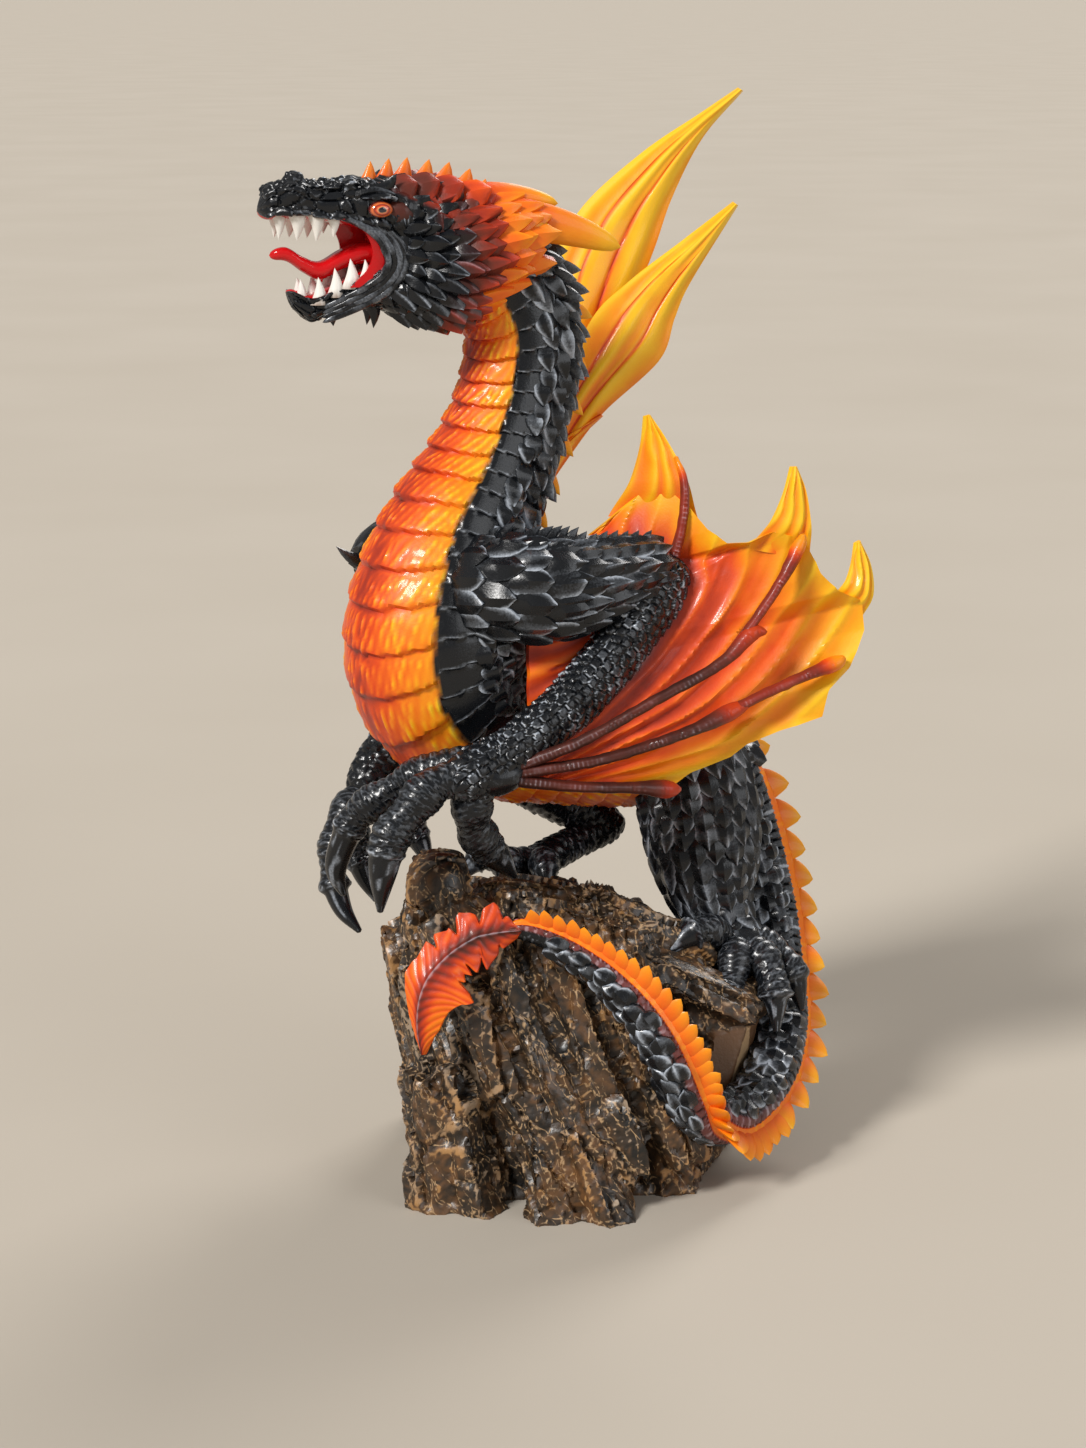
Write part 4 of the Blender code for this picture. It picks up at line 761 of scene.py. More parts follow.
def rock_paint():
    """Near-black bronze gloss with gold-brown brushed edges and gold lines between the facets."""
    net = Graph("rock_paint")
    blotch, grain = net.noise(0.07, stretch=(1.0, 1.0, 0.7)), net.noise(0.9, detail=5.0)
    fine, chip, relief, sliver = (net.attribute(name) for name in CHANNELS)
    base = net.ramp(net.math("MULTIPLY_ADD", fine, 0.5, blotch), ROCK_RAMP)
    edge = net.mask(net.math("MULTIPLY_ADD", grain, 0.6, relief), 0.72, 0.98)
    bend = net.noise(0.07, detail=2.0, output="Color")
    bent = net.node("VectorMath", {0: bend, 1: (9 * MM,) * 3, 2: net.place()}, operation="MULTIPLY_ADD")
    inputs = {"Rotation": (0, -STRATA_LEAN, 0), "Scale": (1.0, 1.0, 3.6), "Vector": bent.outputs["Vector"]}
    slant = net.node("Mapping", inputs, vector_type="TEXTURE")
    lines = []
    for fineness, width in ((0.11, 0.024), (0.25, 0.036)):
        inputs = {"Scale": fineness / MM, "Vector": slant.outputs["Vector"]}
        facet = net.node("TexVoronoi", inputs, feature="DISTANCE_TO_EDGE")
        lines.append(net.ramp(facet.outputs["Distance"], ((0.25 * width, FULL), (width, NONE))))
    line = net.mix(1.0, *lines, mode="LIGHTEN")
    line = net.mix(1.0, line, net.mask(grain, 0.44, 0.60), mode="MULTIPLY")
    colour = net.mix(line, base, GOLD_LINE)
    colour = net.mix(edge, colour, net.ramp(blotch, GOLD_RAMP))
    colour = net.mix(sliver, net.mix(chip, colour, CHIP_BROWN), CHIP_TAN)
    height = net.math("MULTIPLY_ADD", blotch, 1.2, grain)
    return net.shaded({"Base Color": colour, "Roughness": net.math("MULTIPLY_ADD", grain, 0.3, 0.27),
                       "Coat Weight": 0.15, "Coat Roughness": 0.2, "Normal": net.bump(height, 0.4, 0.4)})


def tooth_paint():
    net = Graph("tooth_paint")
    grain = net.noise(0.5)
    tone = net.math("MULTIPLY_ADD", grain, 0.3, net.attribute("relief"))
    return net.shaded({"Base Color": net.ramp(tone, TOOTH_RAMP), "Roughness": 0.22,
                       "Normal": net.bump(grain, 0.15, 0.1)})


def eye_paint():
    """Glossy rings from the heat value: black pupil, amber ring, red rim."""
    net = Graph("eye_paint")
    tone = net.math("MULTIPLY_ADD", net.noise(1.2), 0.12, net.attribute("tint"))
    return net.shaded({"Base Color": net.ramp(tone, EYE_RAMP), "Roughness": 0.08, "Coat Weight": 1.0})


def floor_paint():
    net = Graph("floor_paint")
    return net.shaded({"Base Color": net.ramp(net.noise(0.004), FLOOR_RAMP), "Roughness": 0.9,
                       "Specular IOR Level": 0.1})


DRAGON = dragon_paint()
ROCK = rock_paint()
TOOTH = tooth_paint()
EYE = eye_paint()

SPINE_STEM = Stem(SPINE, samples=900)


def from_belly(angle):
    """Degrees round the ring from the belly's middle, 0 to 180."""
    return np.abs(np.degrees(angle) % 360 - 180)


def body(skin):
    """Neck, chest and belly: fluted belly plates, stepped scutes beside them, scales to the back."""
    grid = Rings(SPINE_STEM, 360, 140, 0.012, TAIL_START + 0.05)
    s, off = grid.s, from_belly(grid.angle)
    across = np.radians(np.degrees(grid.angle) % 360 - 180) * grid.size.mean(axis=-1)
    wobble = noise2(s * 0.5, across * 0.5, 3)
    edge = BELLY_EDGE + 3.0 * (wobble - 0.5)
    on_belly = 1 - smooth(off, edge - 2.2, edge + 0.4)
    share = (s + 3.6 * (off / BELLY_EDGE) ** 2 + 0.8 * (wobble - 0.5)) / BELLY_PLATE
    plate = np.floor(share)
    f = share - plate
    step = np.where(f < PLATE_LIP, (f / PLATE_LIP) ** 0.8, 1 - smooth(f, PLATE_LIP, 1.0))
    slant = across + 0.3 * f * BELLY_PLATE * np.sign(across)
    slant = slant + 2.4 * (noise2(plate * 5.3, across * 0.25, 8) - 0.5)
    slant = slant + 0.7 * (noise2(s * 0.35, across * 0.9, 9) - 0.5)
    groove = np.abs(np.sin(math.pi * slant / FLUTE))
    rib = (1 - groove) ** 1.3 * smooth(f, 0.04, 0.25) * (1 - smooth(f, 0.82, 0.95))
    rib = rib * (0.35 + 0.65 * smooth(noise2(slant * 0.45, plate * 3.7 + f * 1.4, 12), 0.25, 0.6))
    belly_height = BELLY_PLATE_HEIGHT * step + FLUTE_HEIGHT * rib
    across_share = np.clip(off / BELLY_EDGE, 0, 1.2)
    # The belly's heat: redder at its middle and yellower to its edges, yellower on the flutes' ridges and redder
    # in their grooves, and darker in the groove before each plate and on the face where each plate steps back
    # down, which is painted shade.
    belly_heat_and_shade = 0.38 + 0.46 * across_share ** 0.9 + 0.22 * rib - 0.09 * (1 - rib) * (f > 0.1) \
        - (0.20 - 0.12 * across_share) * (1 - smooth(f, 0.0, 0.13)) - 0.1 * smooth(f, PLATE_LIP, 0.99)
    on_scute = hump(off, edge + 0.5, edge + 2.5, SCUTE_EDGE - 2, SCUTE_EDGE)
    g = (s + 1.6 * (off - BELLY_EDGE) / 35) / SCUTE
    g_share = g - np.floor(g)
    scute_rise = 0.35 + 0.65 * g_share / SCUTE_LIP
    scute_rise = np.where(g_share < SCUTE_LIP, scute_rise, 1 - smooth(g_share, SCUTE_LIP, 1.0))
    lines = np.abs(np.sin(off * 0.55 + 3 * hashed(np.floor(g), 0, 4)))
    scute_height = SCUTE_HEIGHT * scute_rise + 0.10 * lines
    small, near_s, _, _ = cells(s / 3.6, across / 3.4, 0.5, 21)
    small_height = 0.55 * smooth(small, 0.0, 0.25) * (0.5 + 0.5 * np.clip(near_s + 0.6, 0, 1))
    rest = np.clip(1 - on_belly - on_scute, 0, 1)
    height = on_belly * belly_height + on_scute * scute_height + rest * small_height
    rim = hump(small, 0.06, 0.16, 0.22, 0.5)
    scute_relief = 0.75 * smooth(g_share, 0.76, 0.88) * (1 - smooth(g_share, 0.94, 0.99))
    scute_relief = scute_relief + 0.25 * (1 - lines) ** 3
    relief = on_belly * (0.2 + 0.6 * rib) + on_scute * scute_relief + rest * 0.5 * rim
    skin.tube(grid.point + grid.normal * height[..., None], paint(s.shape, belly_heat_and_shade, on_belly, relief))
    body_scales(skin)


def body_scales(skin):
    """The jagged plates of the neck's and back's sides, and the black thorns beside the ridge."""
    length = SPINE_STEM.length
    start, end, pitch = 0.03 * length, (TAIL_START + 0.03) * length, 4.6
    first = math.radians(SCUTE_EDGE - 4)
    for row in range(int((end - start) / pitch)):
        u_row = (start + pitch * row) / length
        size = float(SPINE_STEM.read(SPINE_STEM.size, np.array([u_row])).mean())
        columns = max(3, int(round((math.pi - first) * size / 5.6)))
        step = (math.pi - first) / columns
        for sign in (1, -1):
            off = first + step * (np.arange(columns) + 0.25 + 0.25 * (row % 2))
            off = off[off < math.pi - 0.12]
            jitter = hashed(np.arange(len(off)), row, 61 + sign)
            angle = math.pi + sign * off
            place = u_row + (jitter - 0.5) * 1.6 / length
            root, normal, _, _ = SPINE_STEM.at(place, angle)
            reach = 6.4 * (0.8 + 0.4 * jitter)[:, None]
            far_end, far_normal, _, _ = SPINE_STEM.at(place + reach[:, 0] / length, angle)
            lift = 0.5 + 1.9 * smooth(off, math.radians(105), math.radians(140))[:, None]
            plates(skin, root + normal * 0.1, far_end + far_normal * (0.3 + lift), normal,
                   step * size * 1.45, 1.4, lift=0.3, seed=row, blunt=0.05, keel=1.1, brush=1.15)


def back_ridge(skin):
    """The orange thorns of nape and tail, the fins up the rock, and black thorns beside the nape."""
    for start, end, count, height, width, thickness, low, high in RIDGE_RUNS:
        u = np.linspace(start, end, count)
        point, normal, way, _ = SPINE_STEM.at(u, 0.0)
        shrink = 1.0 - 0.42 * np.clip((u - 0.765) / 0.22, 0, 1)
        vary = 0.85 + 0.3 * hashed(np.arange(count), 0, 17)
        tip = point + normal * (height * shrink * vary)[:, None] + way * (height * 0.4 * shrink)[:, None]
        horns(skin, point - normal * 2.2, tip, way, width * shrink, thickness * shrink, curl=0.1,
              heat=(low, high), rings=9, sides=10, blunt=0.2)
    u = np.linspace(0.03, 0.37, NAPE_THORNS)
    vary = hashed(np.arange(NAPE_THORNS), 0, 23)
    for sign in (1, -1):
        for lean, tall in ((24, 6.2), (44, 5.8)):
            point, normal, way, _ = SPINE_STEM.at(u, np.radians(sign * (lean + 8 * (vary - 0.5))))
            tip = point + normal * (tall * (0.7 + 0.5 * vary))[:, None] + way * 3.2
            horns(skin, point - normal * 1.0, tip, way, 8.0, 4.4, curl=0.1, heat=(0, 0), warm=0.0, rings=7,
                  sides=7, relief=0.7)


def tail(skin):
    """The tail: an orange ridge, a row of squares beside it, and lapped scales on its sides."""
    grid = Rings(SPINE_STEM, 460, 60, TAIL_START - 0.02, 1.0)
    u, s = grid.u, grid.s
    off = 180 - from_belly(grid.angle)
    grown = np.clip(grid.size.mean(axis=-1) / 8, 0.4, 1.5)
    rim, near_s, _, _ = cells(s / 2.7, np.degrees(grid.angle) / 360 * 12, 0.1, 31, around=12)
    tilt = np.clip(near_s + 0.5, 0, 1)
    ridge = (1 - smooth(off, 25, 30)) * smooth(u, 0.47, 0.5)
    squares = (1 - smooth(off, 56, 62)) * (1 - ridge)
    block = 0.3 + 0.7 * tilt * (1 - squares) + 0.6 * squares
    height = grown * (0.9 * smooth(rim, 0.02, 0.2) * block) * (1 - ridge)
    height = height + ridge * grown * 1.3 * (1 - smooth(off, 4, 24))
    edge = hump(rim, 0.06, 0.14, 0.18, 0.34)
    relief = (0.6 + 0.3 * squares) * edge + 0.5 * squares * smooth(rim, 0.2, 0.4)
    warm = np.clip(ridge + 0.50 * squares * smooth(u, 0.74, 0.8), 0, 1)
    skin.tube(grid.raised(height, rounded((1 - u) / 0.5, 0.02, 0)),
              paint(s.shape, 0.48 * ridge + 0.2, warm, relief))
    for low, high in ((60, 170), (-170, -60)):
        lapped(skin, SPINE_STEM, 0.5, 0.97, 3.9, 4.4, (low, high), thickness=1.1, lift=0.25, seed=7, keel=0.9,
               reach=1.55, blunt=0.4, brush=1.1)


def pebbled(skin, stem, rings, sides, size_s, size_b, height, jitter=0.35, seed=41, ends=(0.06, 0.06),
            brush=0.85):
    """A limb under rounded scales."""
    grid = Rings(stem, rings, sides)
    columns = 2 * max(2, int(round(math.pi * stem.size.mean() / size_b)))
    b = np.degrees(grid.angle) / 360 * columns
    rim, near_s, _, tone = cells(grid.s / size_s, b, jitter, seed, around=columns, stretch=0.8)
    tilt = np.clip(near_s + 0.5, 0, 1)
    rise = height * smooth(rim, 0.02, 0.3) * (0.45 + 0.55 * tilt) * (0.75 + 0.5 * tone)
    edge = hump(rim, 0.08, 0.16, 0.2, 0.36) * (0.35 + 0.65 * tilt)
    top = 0.5 * smooth(rim, 0.12, 0.4) * tone ** 2
    relief = brush * (edge + top) * (0.3 + 1.0 * noise2(grid.s * 0.2, b * 0.5, seed + 5))
    skin.tube(grid.raised(rise, rounded(grid.u, *ends)), paint(b.shape, 0.3, 0.0, relief))


def lapped(skin, stem, first, last, pitch, wide, angles, reach=1.7, thickness=1.2, lift=0.7, seed=0, **looks):
    """Rows of pointed scales laid along a limb between two angles from its back."""
    rows = max(2, int((last - first) * stem.length / pitch))
    for row in range(rows):
        u_row = first + (last - first) * row / rows
        size = float(stem.read(stem.size, np.array([u_row])).mean())
        arc = math.radians(angles[1] - angles[0]) * size
        columns = max(1, int(round(arc / wide)))
        step = (angles[1] - angles[0]) / columns
        jitter = hashed(np.arange(columns), row, 71 + seed)
        number = np.arange(columns) + 0.25 + 0.5 * (row % 2) + 0.3 * (jitter - 0.5)
        angle = np.radians(angles[0] + step * number)
        place = np.clip(u_row + (jitter - 0.5) * pitch * 0.3 / stem.length, 0, 1)
        root, normal, _, _ = stem.at(place, angle)
        tip, tip_normal, _, _ = stem.at(np.clip(place + pitch * reach / stem.length, 0, 0.995), angle)
        plates(skin, root, tip + tip_normal * (0.25 + lift), normal, math.radians(step) * size * 1.4,
               thickness, lift=0.1, seed=seed + row, **looks)


def finger(skin, rows, seed):
    """Knuckled and scaled to the claw, which is smooth, ridged and pointed."""
    stem = Stem([row + (row[3],) for row in rows])
    grid = Rings(stem, int(stem.length / 0.5), 32)
    u, s, angle = grid.u, grid.s, grid.angle
    claw = smooth(u, CLAW_FROM - 0.01, CLAW_FROM + 0.02)
    knuckle = 0.55 * np.cos(2 * math.pi * u * len(rows) * 0.62 + seed) * (1 - claw)
    back = np.cos(angle)
    rim = cells(s / 2.3, np.degrees(angle) / 360 * 12, 0.3, seed, around=12, stretch=0.8)[0]
    band = np.abs(np.sin(math.pi * s / 2.6))
    scale = 0.55 * smooth(rim, 0.02, 0.3) * (1 - smooth(back, 0.55, 0.8))
    scale = scale + 0.6 * band ** 0.5 * smooth(back, 0.5, 0.8)
    cuff = 0.9 * np.exp(-((u - CLAW_FROM + 0.03) / 0.03) ** 2)
    nail = 0.22 * np.cos(angle * 6) ** 2 * claw
    height = (scale * (1 - claw) + knuckle + cuff + nail) * np.clip(grid.size.mean(axis=-1) / 4, 0.2, 1)
    edge = hump(rim, 0.06, 0.18, 0.3, 0.7)
    relief = (0.6 * edge + 0.25 * smooth(back, 0.4, 0.9) * band ** 3) * (1 - claw)
    streak = 0.12 + 0.75 * smooth(noise2(s * 0.25, angle * 3.2, seed + 2), 0.5, 0.8)
    relief = relief + claw * streak + 0.35 * np.exp(-((u - CLAW_FROM + 0.02) / 0.015) ** 2)
    skin.tube(grid.raised(height, rounded(u, 0.06, 0.012)), paint(s.shape, 0.1, 0.0, 0.8 * relief))


def knob(skin, centre, radii, seed=3, brush=0.6, heat=0.0, warm=0.0, rough=0.25, rings=22, sides=30):
    """A lump with an uneven skin."""
    t = np.linspace(0.02, math.pi - 0.02, rings)[:, None]
    a = turned(sides)
    way = np.broadcast_arrays(np.sin(t) * np.cos(a), np.sin(t) * np.sin(a), np.cos(t) + 0 * a)
    way = np.stack(way, axis=-1)
    bumpy = 1 + rough * (noise3(way * 2.2 + seed * 5.1, seed) - 0.5) * 2
    points = vec(centre) + way * vec(radii) * bumpy[..., None]
    skin.tube(points, paint((rings, sides), heat, warm, brush * smooth(bumpy, 1.0, 1 + rough * 0.6)))


def near_arm(skin):
    upper, fore = Stem(NEAR_UPPER_ARM), Stem(NEAR_FOREARM)
    pebbled(skin, upper, 80, 64, 3.4, 3.2, 0.6, seed=43, ends=(0.1, 0.08))
    lapped(skin, upper, 0.06, 0.5, 5.4, 6.2, (-160, 80), thickness=1.3, lift=0.5, seed=3, blunt=0.4, keel=0.7)
    lapped(skin, upper, 0.42, 0.93, 4.6, 4.4, (-165, 95), thickness=1.1, lift=0.55, seed=23, keel=0.9,
           reach=2.0)
    pebbled(skin, fore, 220, 100, 2.9, 2.7, 0.9, seed=47, jitter=0.4, brush=1.1)
    arm_thorns(skin, upper, 15)
    for number, rows in enumerate(NEAR_FINGERS):
        finger(skin, rows, 5 + number)
    knob(skin, (-19, -27, 120), (9, 7, 6), seed=4, rough=0.12, brush=0.4)


def arm_thorns(skin, upper, count):
    """The jagged line of black thorns along the top of the arm."""
    u = np.linspace(0.16, 0.9, count)
    vary = hashed(np.arange(count), 0, 19)
    for lean in (0, 24, -24):
        root, normal, way, _ = upper.at(u, math.radians(lean))
        rise = (4.4 - 1.6 * abs(lean) / 24 - 1.8 * u) * (0.7 + 0.6 * vary)
        tips = root + normal * rise[:, None] + way * (rise * 0.9)[:, None]
        horns(skin, root - normal * 1.6, tips, way, 5.0, 3.0, heat=(0, 0), warm=0.0, rings=5, sides=6)


def far_arm(skin):
    upper, fore = Stem(FAR_UPPER_ARM), Stem(FAR_FOREARM)
    pebbled(skin, upper, 60, 44, 3.6, 3.4, 0.7, seed=53)
    lapped(skin, upper, 0.05, 0.93, 6.4, 6.8, (-170, 150), seed=33, keel=0.6, thickness=1.3)
    pebbled(skin, fore, 130, 56, 3.1, 3.0, 0.9, seed=57)
    arm_thorns(skin, upper, 10)
    spikes = vec(SHOULDER_SPIKES)
    horns(skin, spikes * (0.86, 1.0, 0.985) + (0, 4, 0), spikes + (-3, -1, 2), [UP], 6.0, 5.0, heat=(0, 0),
          warm=0.0)
    for number, rows in enumerate(FAR_FINGERS):
        finger(skin, rows, 9 + number)


def legs(skin):
    near = Stem(NEAR_LEG, hint=(0, -1, 0))
    pebbled(skin, near, 100, 70, 3.2, 3.0, 0.7, seed=63, ends=(0.08, 0.05))
    lapped(skin, near, 0.10, 0.92, 5.0, 5.2, (-130, 130), seed=43, keel=0.8, thickness=1.2, lift=0.5,
           brush=1.05)
    pebbled(skin, Stem(FAR_THIGH), 76, 56, 3.4, 3.2, 0.8, seed=65)
    pebbled(skin, Stem(FAR_SHIN), 80, 46, 3.0, 2.8, 0.8, seed=67)
    pebbled(skin, Stem(FAR_HOCK), 80, 36, 2.8, 2.6, 0.7, seed=69)
    for number, rows in enumerate(NEAR_TOES + FAR_TOES):
        finger(skin, rows, 13 + number)
    knob(skin, (52, 12, 60), (7, 7, 5), seed=6, rough=0.15)


def fan(skin, root, edge, facing, sag, rows, columns, seed, heat_from, heat_to, focus=None):
    """A membrane from a root line to its outer edge, its folds running out from a focus."""
    ends = vec(edge)
    u = np.linspace(0, 1, rows)
    edge_points = np.stack([np.interp(u, ends[:, 0], ends[:, k]) for k in (1, 2, 3)], axis=-1)
    starts = along_curve(root, u)
    spread = unit(np.cross(ends[-1, 1:] - starts[0], ends[0, 1:] - starts[-1]))
    t = np.linspace(0, 1, columns)[None, :]
    line = u[:, None]
    grid = starts[:, None, :] * (1 - t[..., None]) + edge_points[:, None, :] * t[..., None]
    grid = grid + spread * (sag * np.sin(math.pi * t))[..., None]
    if focus is None:
        phase = line * 15
    else:
        across = grid - vec(focus)
        reach = np.linalg.norm(across, axis=-1)
        phase = np.degrees(np.arctan2(across[..., 2], across[..., 0])) / 5.6 - (reach / 62) ** 2.2
    turn = phase + 0.6 * noise2(line * 7, t * 2.2, seed)
    sharp = 1 - np.abs(np.sin(math.pi * turn)) ** 0.75
    fold = 1.7 * sharp - 0.75 + 0.5 * (noise2(phase * 2.3, t * 2.0, seed + 1) - 0.5)
    fold = fold + 0.45 * (noise2(phase * 6.0, t * 4.0, seed + 2) - 0.5)
    open_out = smooth(t, 0.03, 0.4) * (1 - 0.35 * smooth(t, 0.8, 1.0))
    front_way = unit(vec(facing))
    half = (WING_THICKNESS + (WING_EDGE_THICKNESS - WING_THICKNESS) * t) / 2 + 0 * line
    ripple = 0.75 * fold * open_out
    front = grid + front_way * (half + ripple)[..., None]
    back = grid - front_way * (half - ripple)[..., None]
    heat = heat_from + (heat_to - heat_from) * t ** 1.4 + 0.09 * fold * (1 - 0.5 * t)
    heat = heat + 0.16 * smooth(t, 0.6, 1.0)
    skin.sheet(front, back, paint((rows, columns), heat, 1.0, np.clip(0.4 + 0.4 * fold, 0, 1)))


def near_wing(skin):
    fan(skin, NEAR_WING_ROOT, NEAR_WING_EDGE, NEAR_WING_FACING, NEAR_WING_SAG, 240, 76, 81, 0.32, 0.74,
        focus=(-20, -27.5, 113))
    for number, (left, right) in enumerate(NEAR_HOOKS):
        blade(skin, left, right, NEAR_WING_FACING, 0.6, 54, 22, 85 + number, (0.60, 0.72, 0.86)[number], 0.98,
              sink=0.92)
    blade(skin, *ELBOW_WEB, NEAR_WING_FACING, 0.0, 40, 24, 91, 0.42, 0.30)


def blade(skin, left, right, facing, bulge, rows, columns, seed, low, high, veins=3.0, sink=0.0):
    """A pointed web between two edge curves, with long folds that meet at its tip."""
    t = np.linspace(0, 1, rows)
    a, b = along_curve(left, t)[:, None, :], along_curve(right, t)[:, None, :]
    x = np.linspace(0, 1, columns)[None, :]
    out = unit(vec(facing))
    run = t[:, None]
    fold = np.sin(2 * math.pi * (x * veins + 0.5 * noise2(run * 4, x * 3, seed)))
    fold = fold + 0.8 * (noise2(run * 3.0, x * 11, seed + 1) - 0.5)
    room = smooth(x, 0, 0.12) * smooth(1 - x, 0, 0.12) * smooth(1 - run, 0, 0.2)
    grid = a * (1 - x[..., None]) + b * x[..., None] + out * (bulge * np.sin(math.pi * x))[..., None]
    grid = grid - out * (2.4 * sink * (1 - smooth(run, 0.05, 0.4)))[..., None]
    vein = sum(np.exp(-((x - c - 0.12 * (noise2(run * 3, c * 40 + 0 * x, seed + 3) - 0.5)) / 0.02) ** 2)
               for c in (0.34, 0.66)) * smooth(run, 0.08, 0.2) * (1 - smooth(run, 0.75, 0.95)) * (sink == 0)
    half = WING_THICKNESS / 2 * (0.55 + 0.45 * np.sin(math.pi * x))
    half = half * (1 - sink * (1 - smooth(run, 0.0, 0.3)))
    ripple = (0.42 * fold - 0.5 * vein) * room * (1 - (sink > 0) * (1 - smooth(run, 0.1, 0.3)))
    values = paint((rows, columns), low + (high - low) * run + 0.08 * fold - 0.5 * low * vein, 1.0,
                   np.clip(0.45 + 0.4 * fold - vein, 0, 1))
    skin.sheet(grid + out * (half + ripple)[..., None], grid - out * (half - ripple)[..., None], values)


def wing_ribs(skin):
    """The finger bones of the near wing, maroon with a beaded ridge."""
    for number, rows in enumerate(NEAR_RIBS):
        stem = Stem([row[:3] + (row[3] * 0.85,) * 2 for row in rows], hint=(0.2, -1, 0.2))
        grid = Rings(stem, int(stem.length / 0.62), 22)
        bead = np.abs(np.sin(math.pi * grid.s / 1.3)) ** 0.6
        top = smooth(np.cos(grid.angle), 0.72, 0.95)
        height = 0.35 * bead * top + 0.3 * (noise3(grid.point * 0.5, 5) - 0.5)
        far = smooth(grid.u, 0.72, 0.95)
        relief = top * bead ** 2 * (0.3 + 0.9 * noise2(grid.s * 0.4, grid.angle, 6)) * (1 - 0.7 * far)
        outer = number in OUTER_RIBS
        heat = (0.26 if outer else 0.10) + 0.30 * far + 0.22 * outer * far
        skin.tube(grid.raised(height, rounded(grid.u, 0.03, 0.02)),
                  paint(far.shape, heat, 1 - 0.45 * relief, relief * 0.9))


def far_wing(skin):
    for number, (left, right, bulge) in enumerate(FAR_BLADES):
        blade(skin, left, right, (0, -1, 0), bulge, 100, 46, 95 + number * 3, (0.74, 0.68, 0.80)[number],
              (1.0, 0.98, 0.60)[number], veins=2.5)
    fan(skin, FAR_FAN_ROOT, FAR_FAN_EDGE, FAR_FAN_FACING, 0.0, 100, 40, 99, 0.25, 0.8)


def leaf(skin):
    """The leaf at the tail's end: lobed edge, midrib and slanting striations."""
    rows, columns = 120, 43
    table = vec(LEAF)
    t = np.linspace(0, 1, rows)
    line = t[:, None]
    data = along_curve(table[:, :3], t)
    chord = np.concatenate(((0.0,), np.cumsum(np.linalg.norm(np.diff(table[:, :3], axis=0), axis=1))))
    way = unit(np.gradient(data, axis=0))
    out = unit(LEAF_OUT)
    side = unit(np.cross(way, out))
    x = np.linspace(-1, 1, columns)[None, :]
    reach = np.abs(x)
    upper, lower = (np.interp(t, chord / chord[-1], table[:, k])[:, None] for k in (3, 4))
    lobe = (line * 8.5 + 0.35 * (x > 0)) % 1.0
    notch = 1 - 0.5 * smooth(lobe, 0.62, 0.98) * (1 - smooth(line, 0.42, 0.55))
    width = np.where(x < 0, upper, lower) * (1 + (notch - 1) * reach ** 2)
    vein = np.abs(np.sin(math.pi * (line * 17 + 2.2 * reach)))
    cup = 1.6 * (1 - reach) + 0.28 * vein * smooth(reach, 0.05, 0.3)
    rib = 0.9 * np.exp(-(x / 0.09) ** 2) * (1 - 0.6 * line)
    swept = data[:, None, :] + way[:, None, :] * (2.4 * reach * (1 - line))[..., None]
    grid = swept + side[:, None, :] * (x * width)[..., None]
    half = LEAF_THICKNESS / 2 * (1 - 0.5 * reach)
    heat = 0.17 + 0.12 * smooth(line, 0.2, 0.6) + 0.28 * smooth(reach, 0.05, 0.6)
    heat = heat + 0.06 * smooth(line, 0.55, 0.9) * reach ** 0.5 - 0.08 * (1 - vein)
    pale = np.exp(-(x / 0.05) ** 2)
    front = grid + out * (cup + half + rib)[..., None]
    back = grid + out * (cup - half)[..., None]
    skin.sheet(front, back, paint((rows, columns), heat, 1 - 0.6 * pale, 0.35 * vein + 0.8 * pale))


def head_at(along, left, up):
    along, left, up = np.broadcast_arrays(*(np.asarray(v, float) for v in (along, left, up)))
    return HEAD_ORIGIN + HEAD_ALONG * along[..., None] + HEAD_LEFT * left[..., None] + UP * up[..., None]


def jaw_grid(rows, rings, sides, square=0.75):
    """A head half as rings: each point, its angle from the top, and how far along it lies."""
    table = vec(rows)
    t = np.linspace(0, 1, rings)
    padded = np.column_stack((table[:, 0], np.zeros(len(table)), table[:, 1], table[:, 2], table[:, 3]))
    data = along_curve(padded, t)
    a = turned(sides)
    sin, cos = np.sin(a), np.cos(a)
    wide = np.sign(sin) * np.abs(sin) ** square * data[:, 3:4]
    high = np.sign(cos) * np.abs(cos) ** square * data[:, 4:5]
    along = data[:, :1] + 0 * a
    return along, wide, data[:, 2:3] + high, a + 0 * along, t[:, None] + 0 * a


def head(skin):
    for rows, facing in ((SKULL, -1), (JAW, 1)):
        along, left, up, angle, t = jaw_grid(rows, 160, 104)
        point = head_at(along, left, up)
        middle = point.mean(axis=1, keepdims=True)
        normal = unit(point - middle)
        into_mouth = facing * np.cos(angle)
        rim, _, _, tone = cells(along / 4.4, np.degrees(angle) / 360 * 14, 0.9, 101, around=14, stretch=0.9)
        rugged = noise3(point * 0.27, 7)
        inner = smooth(into_mouth, 0.5, 0.75) * smooth(along, 17, 21)
        squiggle = 1 - smooth(np.abs(noise3(point * 0.3, 19) - 0.5), 0.0, 0.05)
        scale = 0.7 * smooth(rim, 0.02, 0.25) * (0.6 + 0.8 * tone) + 2.0 * (rugged - 0.5) + 0.35 * squiggle
        lip = 0.9 * np.exp(-(into_mouth - 0.42) ** 2 / 0.03) * smooth(along, 22, 30)
        height = (scale * (1 - inner) + lip) * rounded(t, 0.02, 0.06)
        edge = hump(rim, 0.04, 0.1, 0.12, 0.22)
        relief = (0.6 * edge * (0.2 + rugged) + 0.5 * squiggle * rugged ** 1.5 + 0.3 * lip) * (1 - inner)
        brown = smooth((27 - 11 * (1 - smooth(np.cos(angle), 0.3, 0.6))) - along + 5 * (rugged - 0.5), 0, 8)
        draw = rounded(t, 0.02, 0.05)[..., None]
        points = middle + (point + normal * height[..., None] - middle) * draw
        skin.tube(points, paint(along.shape, 0.25, brown, relief, inner))
    face(skin)
    mouth(skin)
    ruff(skin)


